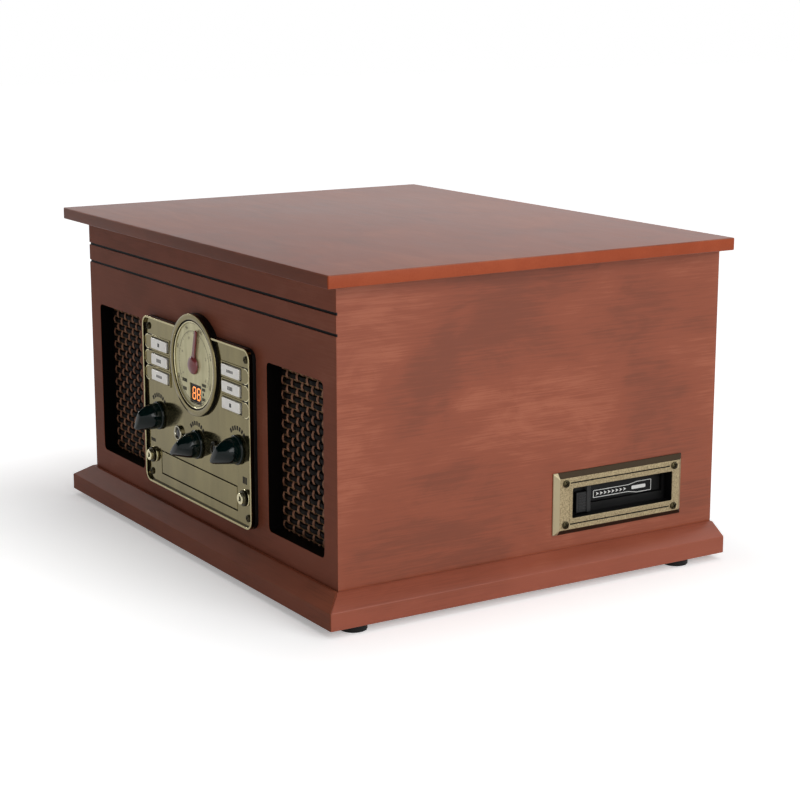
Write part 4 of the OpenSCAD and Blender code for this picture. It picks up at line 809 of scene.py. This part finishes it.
# pointer: a blade that narrows to its tip, on a domed hub
pointer = {"rest": 13.3, "length": 27.5, "root": 2.4, "tip": 1.5, "gap": 0.5, "thick": 1.4, "hub": 7.0, "dome": 3.6,
           "axle": 1.9}
root, tip, reach, gap = pointer["root"], pointer["tip"], pointer["length"], pointer["gap"]
blade = plate(np.array([[-root, 0], [root, 0], [tip, reach - 1], [0, reach], [-tip, reach - 1]]),
              [(0.3, gap), (0, gap + 0.3), (0, gap + 1.0), (0.4, gap + pointer["thick"])])
hub = [(0, gap)] + [(pointer["hub"] * math.cos(a), gap + pointer["dome"] * math.sin(a))
                    for a in np.linspace(0, math.pi / 2, 10)]
axle = revolve([(0, -4), (pointer["axle"], -4), (pointer["axle"], 0.7), (0, 0.7)], 24)
addPiece(frontFace, dialPlace, "pointer", "pointerRed", [moved(blade, turn=-pointer["rest"]), revolve(hub), axle],
         "dial_pointer", ["dial_pointer"])
print("dial made")

# beaked knobs at x and z, each turned by some degrees, with printed ticks round them
# a beak: its share of the length, half widths of root and tip, tail, widest place, how much shorter it is
knob = {"skirtRadius": 10.9, "skirt": 2.6, "shoulder": 8.0, "length": 18.2, "beak": 13.4, "round": 0.9, "stem": 3,
        "beaks": ((0.72, 4.6, 2.0, -6.5, 4, 0), (1, 2.6, 1.2, -3.5, 4, 1.2))}
knobs = {"volume_knob": (-65, 95.5, 215), "function_knob": (0, 86.0, 235), "tuning_knob": (65, 95.5, 225)}
ticks = {"z": 95.5, "from": 14.2, "to": 17.4, "step": 13, "each": 3, "width": 2.3}


def knobBody():
    # convex wrap of four outlines: two circles up to the shoulder, a beak, and a shorter narrower beak in front
    turn = circle(16)
    outlines = [(radius * np.stack([np.cos(turn), np.sin(turn)], -1), level)
                for radius, level in ((knob["skirtRadius"] - 0.7, knob["skirt"] - 0.5),
                                      (knob["skirtRadius"] - 1.6, knob["shoulder"]))]
    for share, wide, narrow, tail, belly, shorter in knob["beaks"]:
        reach = knob["beak"] - shorter
        outlines.append((np.array([[-wide, tail], [-wide, belly], [-narrow, reach], [narrow, reach], [wide, belly],
                                   [wide, tail]]), knob["length"] * share))
    points = np.concatenate([atHeight(outline, level) for outline, level in outlines])
    mesh = bpy.data.meshes.new("knobBody")
    mesh.from_pydata(points.tolist(), [], [])
    work = bmesh.new()
    work.from_mesh(mesh)
    bmesh.ops.convex_hull(work, input=work.verts)
    bmesh.ops.dissolve_limit(work, angle_limit=math.radians(2), verts=work.verts, edges=work.edges)
    bmesh.ops.bevel(work, geom=work.edges[:], offset=knob["round"], segments=3, profile=0.5, affect="EDGES")
    work.to_mesh(mesh)
    work.free()
    return takeShell(mesh)


radius, tall, stem = knob["skirtRadius"], knob["skirt"], knob["stem"]
skirt = revolve([(0, 0.3), (radius - 0.4, 0.3), (radius, 0.7), (radius, tall - 1.0), (radius - 0.3, tall - 0.3),
                 (radius - 1.0, tall), (0, tall)], 64)
tickShells = []
for node, (x, z, turned) in knobs.items():
    addPiece(frontFace, (x, faceY, z), node + "Dressed", "knobGloss", [
        skirt, moved(knobBody(), turn=-turned), revolve([(0, -6), (stem, -6), (stem, 1), (0, 1)], 32)],
        node, [node], 50)
    centre = np.array([x, z - ticks["z"]])
    for number in range(-ticks["each"], ticks["each"] + 1):
        way = polar(1, 90 + number * ticks["step"])
        tickShells.append(bar(centre + ticks["from"] * way, centre + ticks["to"] * way, ticks["width"]))
addPiece(frontFace, (0, faceY, ticks["z"]), "knobTicks", "lineDark", tickShells + dashes(labels["knobs"]))

keys = {"corner": 0.9, "edge": 0.5, "narrower": 1.6, "depth": 3.2, "stem": (14.3, 3, 0.4)}
keyMarks = {"left_top": "stop", "left_middle": "bars", "left_bottom": "dots", "right_top": "dots",
            "right_middle": "bars", "right_bottom": "stop"}
markShells = {"stop": [bar((-1.4, 0), (1.4, 0), 2.8)],
              "bars": [bar((x, -1.4), (x, 1.4), 1.3) for x in (-3, -1, 1, 3)],
              "dots": [bar((x - 0.65, 0), (x + 0.65, 0), 2.0) for x in (-4, -2, 0, 2, 4)]}
for key, mark in keyMarks.items():
    node = "button_" + key
    low, high, middle = boxOf(node)
    at = (middle[0], low[1], middle[2])
    cap = plate(roundRect(high[0] - low[0] - keys["narrower"], high[2] - low[2], keys["corner"]),
                softStops(-keys["depth"], 0, keys["edge"]))
    stem = block(roundRect(*keys["stem"]), low[1] - high[1], 0.2 - keys["depth"])
    addPiece(frontFace, at, node + "Cap", "keyWhite", [cap, stem], node, [node])
    addPiece(frontFace, at, node + "Mark", "holeBlack", markShells[mark], node)

# a bright rim round the outer end of each key pad: a painted highlight on the pads' edges
padHighlightRims = [moved(arcBar(pads["radius"], pads["rimWide"], first, first + 210, pads["rimLow"], pads["rimHigh"]),
                 (side * pads["centreX"], row * pads["pitch"], 0))
           for side, first in ((-1, 75), (1, -105)) for row in (1, 0, -1)]
addPiece(frontFace, (0, faceY, pads["centreZ"]), "padHighlightRims", "brassBrightAndHighlight", padHighlightRims)


screws = {"radius": 2.7, "tall": 1.7, "panelX": 80, "panelUp": 57.4, "bezelY": 9, "bezelZ": 7.6,
          "curve": 0.75, "slotHalf": 0.42, "slotReach": 0.78, "slotFloor": 0.35}


def screwHead(radius, tall):
    # dome whose height is tall*sqrt(1 - curve*(r/radius)^2), cut to a floor inside the driver's cross
    r = np.concatenate([np.linspace(0.02, radius, 12), [radius]])
    rr, aa = np.meshgrid(r, circle(48), indexing="ij")
    height = tall * np.sqrt(np.clip(1 - (rr / radius) ** 2 * screws["curve"], 0, 1))
    for turn in (0.5, 0.5 + math.pi / 2):
        cut = np.abs(rr * np.sin(aa - turn)) < screws["slotHalf"]
        cut &= np.abs(rr * np.cos(aa - turn)) < radius * screws["slotReach"]
        height = np.where(cut, tall * screws["slotFloor"], height)
    height[-1] = 0
    return stackRings(np.stack([rr * np.cos(aa), rr * np.sin(aa), height], -1)[::-1])


bezelLow, bezelHigh, bezelMiddle = boxOf("cassette_bezel")
points, faces = screwHead(screws["radius"], screws["tall"])
heads = [(onFace(points, (x, faceY, panel["centreZ"] + up), frontFace) / mm, faces)
         for x in (-screws["panelX"], screws["panelX"]) for up in (-screws["panelUp"], screws["panelUp"])]
heads += [(onFace(points, (bezelHigh[0], y, z), rightFace) / mm, faces)
          for y in (bezelLow[1] + screws["bezelY"], bezelHigh[1] - screws["bezelY"])
          for z in (bezelLow[2] + screws["bezelZ"], bezelHigh[2] - screws["bezelZ"])]
addPiece(topFace, (0, 0, 0), "trimScrews", "screwBrass", heads, replaces=["trim_screws"], edgeAngle=25)

# small sockets: a knurled nut and a washer on a hollow pipe
jack = {"z": 62.5, "radius": 5.75, "pipe": 4.2, "bore": 1.8, "out": 5.0, "nut": 3.0, "depth": 15.0, "closed": -13,
        "washer": 6.2, "ribs": 18, "rib": 0.035}


def knurl(angle, height):
    # square ribs round the nut, between its plain ends
    return 1 + jack["rib"] * np.sign(np.sin(jack["ribs"] * angle)) * (height > 0.2) * (height < jack["nut"] - 0.2)


pipe, bore, out, nut = jack["pipe"], jack["bore"], jack["out"], jack["nut"]
rim, washer = jack["radius"] - 0.15, jack["washer"]
nutShell = roundFrame([(pipe - 0.2, 0), (rim - 0.25, 0), (rim, 0.3), (rim, nut - 0.4), (rim - 0.75, nut),
                       (pipe - 0.2, nut)], 144, knurl)
pipeShells = [roundFrame([(bore, out - jack["depth"]), (bore, out - 0.4), (bore + 0.4, out), (pipe - 0.3, out),
                          (pipe, out - 0.3), (pipe, jack["closed"]), (0, jack["closed"]),
                          (0, out - jack["depth"])], 48),
              roundFrame([(pipe, 0), (washer, 0), (washer, 0.5), (washer - 0.3, 0.8), (pipe, 0.8)], 64)]
for node, x in (("aux_in_socket", -76), ("headphone_socket", 76)):
    at = (x, faceY, jack["z"])
    addPiece(frontFace, at, node + "Nut", "nickelDark", [nutShell], replaces=[node], edgeAngle=30)
    addPiece(frontFace, at, node + "Pipe", "brassBrightAndHighlight", pipeShells, edgeAngle=30)

# sensor window and lamp in their rings
lamp = {"x": 30.0, "z": 88.7, "facets": 6, "facet": 0.025, "ribs": 18, "rib": 0.04}


def facets(angle, height):
    # six flats round the ring: 1 less a small cosine wave
    return 1 - lamp["facet"] * (1 - np.cos(lamp["facets"] * angle))


def ribs(angle, height):
    # round ribs: 1 and a small sine wave
    return 1 + lamp["rib"] * np.sin(lamp["ribs"] * angle)


sensorRing = [(4.3, 0.0), (6.0, 0.0), (6.0, 1.6), (5.6, 2.1), (4.7, 2.1), (4.3, 1.5)]
lampRing = [(2.6, 0.0), (5.6, 0.0), (5.6, 1.6), (4.8, 2.2), (3.2, 2.2), (2.6, 1.2)]
lenses = [moved(revolve(profile, 32), (x, 0, 0)) for x, profile in (
    (-lamp["x"], [(0, -2), (4.4, -2), (4.4, 1.0), (2.4, 1.5), (0, 1.7)]),
    (lamp["x"], [(0, -2), (2.8, -2), (2.8, 1.2), (1.8, 1.9), (0, 2.2)]))]
addPiece(frontFace, (-lamp["x"], faceY, lamp["z"]), "sensorRing", "nickel", [roundFrame(sensorRing, 72, facets)],
         replaces=["sensor_and_lamp"])
addPiece(frontFace, (lamp["x"], faceY, lamp["z"]), "lampRing", "nickelDark", [roundFrame(lampRing, 72, ribs)])
addPiece(frontFace, (0, faceY, lamp["z"]), "lenses", "lensDark", lenses)
dressNodes({"disc_tray": "trayBlack", "disc_chassis": "steelSheet", "drawer_gear": "gearWhite"})
print("controls made")

# cassette slot: two dark lines on the bezel and a raised lip round the opening, four outlines joined in a loop
dressNodes({"cassette_bezel": ("brassBezel", 0.35), "cassette_chassis": "plasticBlack"})
slot = {"lineWidth": 1.0, "lineUp": 15.1, "lineEnd": 13.0, "lip": 3.0, "lipHigh": 0.3, "corner": 1.2, "wide": 91.0,
        "tall": 22.0}
half = (bezelHigh[1] - bezelLow[1]) / 2 - slot["lineEnd"]
addPiece(rightFace, (bezelHigh[0], *bezelMiddle[1:]), "bezelLines", "lineDark",
         [bar((-half, up), (half, up), slot["lineWidth"], -0.05) for up in (slot["lineUp"], -slot["lineUp"])])
lip, lipHigh = slot["lip"], slot["lipHigh"]
outer = roundRect(slot["wide"] + 2 * lip, slot["tall"] + 2 * lip, slot["corner"] + lip * 0.6)
inner = roundRect(slot["wide"], slot["tall"], slot["corner"])
rows = [atHeight(outer, -0.1), atHeight(shrink(outer, 0.25), lipHigh), atHeight(shrink(inner, -0.3), lipHigh),
        atHeight(inner, lipHigh - 0.3), atHeight(inner, -0.1)]
addPiece(rightFace, (bezelHigh[0], bezel["slotY"], bezelMiddle[2]), "bezelLip", "brassLip",
         [(np.concatenate(rows), gridFaces(len(rows), len(outer), True, True))], edgeAngle=30)

# marks on the flap: a frame with a wider end, a pill in it and a row of arrows
dressNodes({"cassette_flap": ("plasticBlack", 0.2)})
flap = {"frame": ((-27, 2.6), (5, 2.6), (13, 4.0), (26, 4.0), (26, -4.0), (13, -4.0), (5, -2.6), (-27, -2.6)),
        "line": 0.45, "pill": (13, 2.6, 0.8), "pillX": 14.5, "arrows": (-23.5, 1.5, 8), "across": -1.5, "up": -1.4,
        "sunk": 0.25, "arrow": ((-1.2, -1.3), (1.5, 0), (-1.2, 1.3), (-0.5, 0))}
flapMark = [bar(start, end, flap["line"]) for start, end in zip(flap["frame"], np.roll(flap["frame"], -1, 0))]
flapMark.append(moved(block(roundRect(*flap["pill"]), 0, inkHigh), (flap["pillX"], 0, 0)))
flapMark += [moved(block(np.array(flap["arrow"]), 0, inkHigh), (x, 0, 0)) for x in np.linspace(*flap["arrows"])]
_, high, middle = boxOf("cassette_flap")
addPiece(rightFace, (high[0] - flap["sunk"], middle[1] + flap["across"], middle[2] + flap["up"]), "flapMark",
         "markWhite", flapMark, "cassette_flap")

# ribs of the eject button and the tab beside it
dressNodes({"eject_button": ("ejectGrey", 0.5)})
eject = {"rib": 0.7, "half": 4.5, "rise": 0.35, "ribs": (-5, 5.1, 2.0), "tab": (3.6, 20.4, 0.5), "tabY": 4.2}
_, high, middle = boxOf("eject_button")
ejectShells = [bar((-eject["half"], up), (eject["half"], up), eject["rib"], -0.2, eject["rise"])
               for up in np.arange(*eject["ribs"])]
tab = plate(roundRect(*eject["tab"]), [(0, 0.1), (0, 0.5), (0.2, 0.7)])
ejectShells.append(moved(tab, (eject["tabY"], bezelMiddle[2] - middle[2], 0)))
addPiece(rightFace, (high[0], *middle[1:]), "ejectRibs", "ejectGrey", ejectShells, "eject_button")
print("cassette slot made")

# record deck: sleeves on the tonearm, a band on its turret, rings on the mat, the disc adapter and the speeds;
# a ring on the mat has its share of the mat's radius, millimetres more, and its width
deck = {"top": 182.0, "arm": (155.0, 90.025, 212.0), "armRadius": 4.12, "sleeves": ((-172.0, -9), (9, 17)),
        "adapter": (-150, -112), "recess": (19.6, 21.6, -0.1, 0.25), "spindleX": -30.2, "matPitch": 3.0,
        "bandDeep": 1, "bandOut": 0.15, "band": (0.4, 3.0), "matLines": ((1, -3, 0.8), (0.6, 0, 0.5), (0, 20, 0.8))}
speeds = {"y": -102.975, "size": 5.0, "radius": 21.0, "tickFrom": 11.5, "tickTo": 15.5, "tick": 0.8,
          "marks": (("33", -122), ("45", -90), ("78", -58))}
armX, armY, _ = deck["arm"]
matLow, matHigh, matMiddle = boxOf("slip_mat")
makeMat("matRings", "121212", "1c1c1c", (deck["spindleX"] * mm, matMiddle[1] * mm, 0), deck["matPitch"])
dressNodes({"record_deck": ("deckBlack", 0.5), "platter": ("platterGrey", 0.6), "tonearm_turret": ("armBlack", 0.6),
            "cue_lever": ("armBlack", 0.3), "speed_selector": ("plasticBlack", 0.5), "tonearm": ("armBlack", 0.6),
            "slip_mat": "matRings", "motor_pulley": "brassFittings", "drive_belt": "rubberBlack",
            "platter_motor": "steelSheet"})


def flatRing(inner, outer, low, high, around=96):
    # ring with a rectangular cross section
    return roundFrame([(inner, low), (outer, low), (outer, high), (inner, high)], around)


addPiece(topFace, deck["arm"], "armSleeves", "nickel",
         [tube(first, last, deck["armRadius"]) for first, last in deck["sleeves"]], "tonearm")
low, high, _ = boxOf("tonearm_turret")
turret = (high[0] - low[0]) / 2
addPiece(topFace, (armX, armY, deck["top"]), "turretBand", "nickel",
         [flatRing(turret - deck["bandDeep"], turret + deck["bandOut"], *deck["band"])], "tonearm_turret")
matRadius = (matHigh[0] - matLow[0]) / 2
matLines = [flatRing(share * matRadius + more - width, share * matRadius + more, 0, inkHigh, 128)
            for share, more, width in deck["matLines"]]
addPiece(topFace, (deck["spindleX"], matMiddle[1], matHigh[2]), "matPrint", "matPrint", matLines, "platter")
adapter = [(3.7, 0), (19, 0), (19, 1.4), (18.2, 2.2), (12, 2.4), (10.5, 3.4), (4.4, 3.4), (3.7, 2.9)]
addPiece(topFace, (*deck["adapter"], deck["top"]), "discAdapter", "nickel", [roundFrame(adapter, 96)])
addPiece(topFace, (*deck["adapter"], deck["top"]), "adapterRecess", "plasticBlack", [flatRing(*deck["recess"])])
speedShells = []
for text, turn in speeds["marks"]:
    speedShells.append(moved(numerals(text, speeds["size"]), (*polar(speeds["radius"], turn), 0)))
    speedShells.append(bar(polar(speeds["tickFrom"], turn), polar(speeds["tickTo"], turn), speeds["tick"]))
addPiece(topFace, (armX, speeds["y"], deck["top"]), "speedMarks", "markWhite", speedShells)
print("deck made")

# back: barrels and coloured rings of the line sockets, labels beside them, and the screws of plate and hinges
rear = {"y": 168.025, "z": 53.0, "plateOut": 1.5, "sockets": ((130.0, "whitePlastic"), (148.0, "redPlastic")),
        "barrel": 4.15, "labelX": 139.0, "plateX": 120.0, "screwX": 38, "screwZ": 13}
hinge = {"x": 120.0, "screwX": 13.0, "leafY": 169.225, "tall": 0.9,
         "screws": (("cabinetHingeScrews", "cabinet", 2.4, 210.0), ("lidHingeScrews", "lid", 1.4, 238.2))}
dressNodes({"cabinet_hinge_fittings": ("brassFittings", 0.2), "lid_hinge_fittings": ("brassFittings", 0.2),
            "lid_stay": ("brassFittings", 0.2), "rear_sockets": ("plasticBlack", 0.3),
            "main_circuit_board": "greenBoard", "power_transformer": "coreSteel"})
hingeX = [side * hinge["x"] + step * hinge["screwX"] for side in (-1, 1) for step in (-1, 0, 1)]
barrel, plateY = rear["barrel"], rear["y"] + rear["plateOut"]
for x, ringTone in rear["sockets"]:
    at = (x, rear["y"], rear["z"])
    addPiece(backFace, at, "socketBarrel" + str(int(x)), "nickel", [roundFrame([
        (barrel - 0.5, 1.6), (barrel + 0.1, 1.6), (barrel + 0.1, 8.7), (barrel - 0.2, 9.05),
        (barrel - 0.5, 9.05)], 48)])
    addPiece(backFace, at, "socketRing" + str(int(x)), ringTone, [roundFrame([
        (barrel, 1.5), (barrel + 1.9, 1.5), (barrel + 1.9, 2.9), (barrel + 1.5, 3.3), (barrel, 3.3)], 48)])
addPiece(backFace, (rear["labelX"], plateY, rear["z"]), "rearLabels", "markWhite", dashes(labels["rear"]))
for name, body, size, z in hinge["screws"]:
    addPiece(backFace, (0, hinge["leafY"], z), name, "screwBrass",
             [moved(screwHead(size, hinge["tall"]), (x, 0, 0)) for x in hingeX], body, edgeAngle=25)
addPiece(backFace, (rear["plateX"], plateY, rear["z"]), "rearScrews", "nickelDark",
         [moved(screwHead(2.0, 1.0), (x, z, 0)) for x in (-rear["screwX"], rear["screwX"])
          for z in (-rear["screwZ"], rear["screwZ"])], edgeAngle=25)
print("inside and back made")

# the studio's world is white to the camera and in reflections, and a weak even light on the object
studio = {"overhead": 0.85, "overheadSpread": 60.0, "sidePower": 18.5, "ambient": 0.17, "floorTone": 0.8,
          "floorSeen": 0.95, "glowNear": 0.32, "glowFar": 0.64, "glowReach": 0.17, "sparkPower": 1.6,
          "glossyGlow": 0.28, "footprint": (0.215, 0.172, 0), "cardX": (-2.0, 0.8), "cardY": (-2.0, 0.1),
          "cardZ": 0.95}
world = bpy.data.worlds.new("studio")
bpy.context.scene.world = world
world.use_nodes = True
tree = world.node_tree
tree.nodes.clear()
paths = tree.nodes.new("ShaderNodeLightPath").outputs
seen = either(either(paths["Is Camera Ray"], paths["Is Glossy Ray"]), paths["Is Transmission Ray"])
strength = timesAdd(seen, 1.0 - studio["ambient"], studio["ambient"])
background = place("ShaderNodeBackground", {"Color": (1, 1, 1, 1), "Strength": strength})
tree.links.new(background.outputs[0], tree.nodes.new("ShaderNodeOutputWorld").inputs[0])


def addLamp(name, kind, at, aim, energy, **settings):
    # lamp at a place in metres, turned so that it shines towards the aim
    data = bpy.data.lights.new(name, kind)
    data.energy = energy
    for key, value in settings.items():
        setattr(data, key, value)
    holder = linkObject(name, data)
    way = np.array(aim, float) - np.array(at, float)
    holder.location = at
    holder.rotation_euler = (math.acos(-way[2] / np.linalg.norm(way)), 0, math.atan2(-way[0], way[1]))


addLamp("overheadLamp", "SUN", (0.35, 0.5, 2.0), (0, 0, 0), studio["overhead"],
        angle=math.radians(studio["overheadSpread"]))
addLamp("sideLamp", "AREA", (1.7, 0.15, 0.75), (0.2, 0, 0.12), studio["sidePower"],
        shape="RECTANGLE", size=1.5, size_y=1.1)
addLamp("sparkLamp", "AREA", (-1.8, -0.45, 0.8), (0, -0.15, 0.1), studio["sparkPower"], shape="SQUARE", size=0.14)


def addSheet(name, xRange, yRange, z, material):
    # one flat rectangle, for the floor and the card
    mesh = bpy.data.meshes.new(name)
    (left, right), (near, far) = xRange, yRange
    mesh.from_pydata([(left, near, z), (right, near, z), (right, far, z), (left, far, z)], [], [(0, 1, 2, 3)])
    mesh.materials.append(paints[material])
    return linkObject(name, mesh)


# the floor's own glow is lowest beside the plinth and rises outwards: painted shade round the object, and white
# beyond
where, shader = newMaterial("paleFloor")
paths = where.id_data.nodes.new("ShaderNodeLightPath").outputs
seen = either(paths["Is Camera Ray"], paths["Is Glossy Ray"])
tones = [(studio[key],) * 3 + (1,) for key in ("floorTone", "floorSeen")]
beyond = vectorCalc("SUBTRACT", vectorCalc("ABSOLUTE", where), studio["footprint"])
distance = vectorCalc("LENGTH", vectorCalc("MAXIMUM", beyond))
# less glow near the footprint is the painted shade on the floor
glow = spread(distance, 0, studio["glowReach"], studio["glowNear"], studio["glowFar"], "LINEAR")
glow = timesAdd(paths["Is Camera Ray"], glow, times(paths["Is Glossy Ray"], studio["glossyGlow"]))
feed(shader, {"Base Color": blend(seen, *tones), "Roughness": 0.9, "Specular IOR Level": 0.0,
              "Emission Color": (1, 1, 1, 1), "Emission Strength": glow})
floor = addSheet("floor", (-6, 6), (-6, 6), 0, "paleFloor")
# a dark card overhead that only reflections see
_, shader = newMaterial("darkCard")
feed(shader, {"Base Color": (0.01, 0.01, 0.01, 1), "Roughness": 1.0, "Specular IOR Level": 0.0})
card = addSheet("darkCard", studio["cardX"], studio["cardY"], studio["cardZ"], "darkCard")
card.visible_camera = card.visible_diffuse = card.visible_shadow = card.visible_transmission = False
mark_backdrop(floor, card)

view = {"lens": 86.65, "place": (1.25383, -0.76811, 0.4254), "azimuth": 57.9, "elevation": 12.445}
camera = linkObject("camera", bpy.data.cameras.new("camera"))
camera.data.sensor_width, camera.data.lens = 36.0, view["lens"]
camera.data.clip_start, camera.data.clip_end = 0.05, 50
camera.location = view["place"]
camera.rotation_euler = (math.radians(90 - view["elevation"]), 0, math.radians(view["azimuth"]))
bpy.context.scene.camera = camera
bpy.context.scene.view_settings.view_transform = "Standard"

low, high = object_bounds()
print("studio made; sizes in mm:", [round((b - a) / mm, 1) for a, b in zip(low, high)])
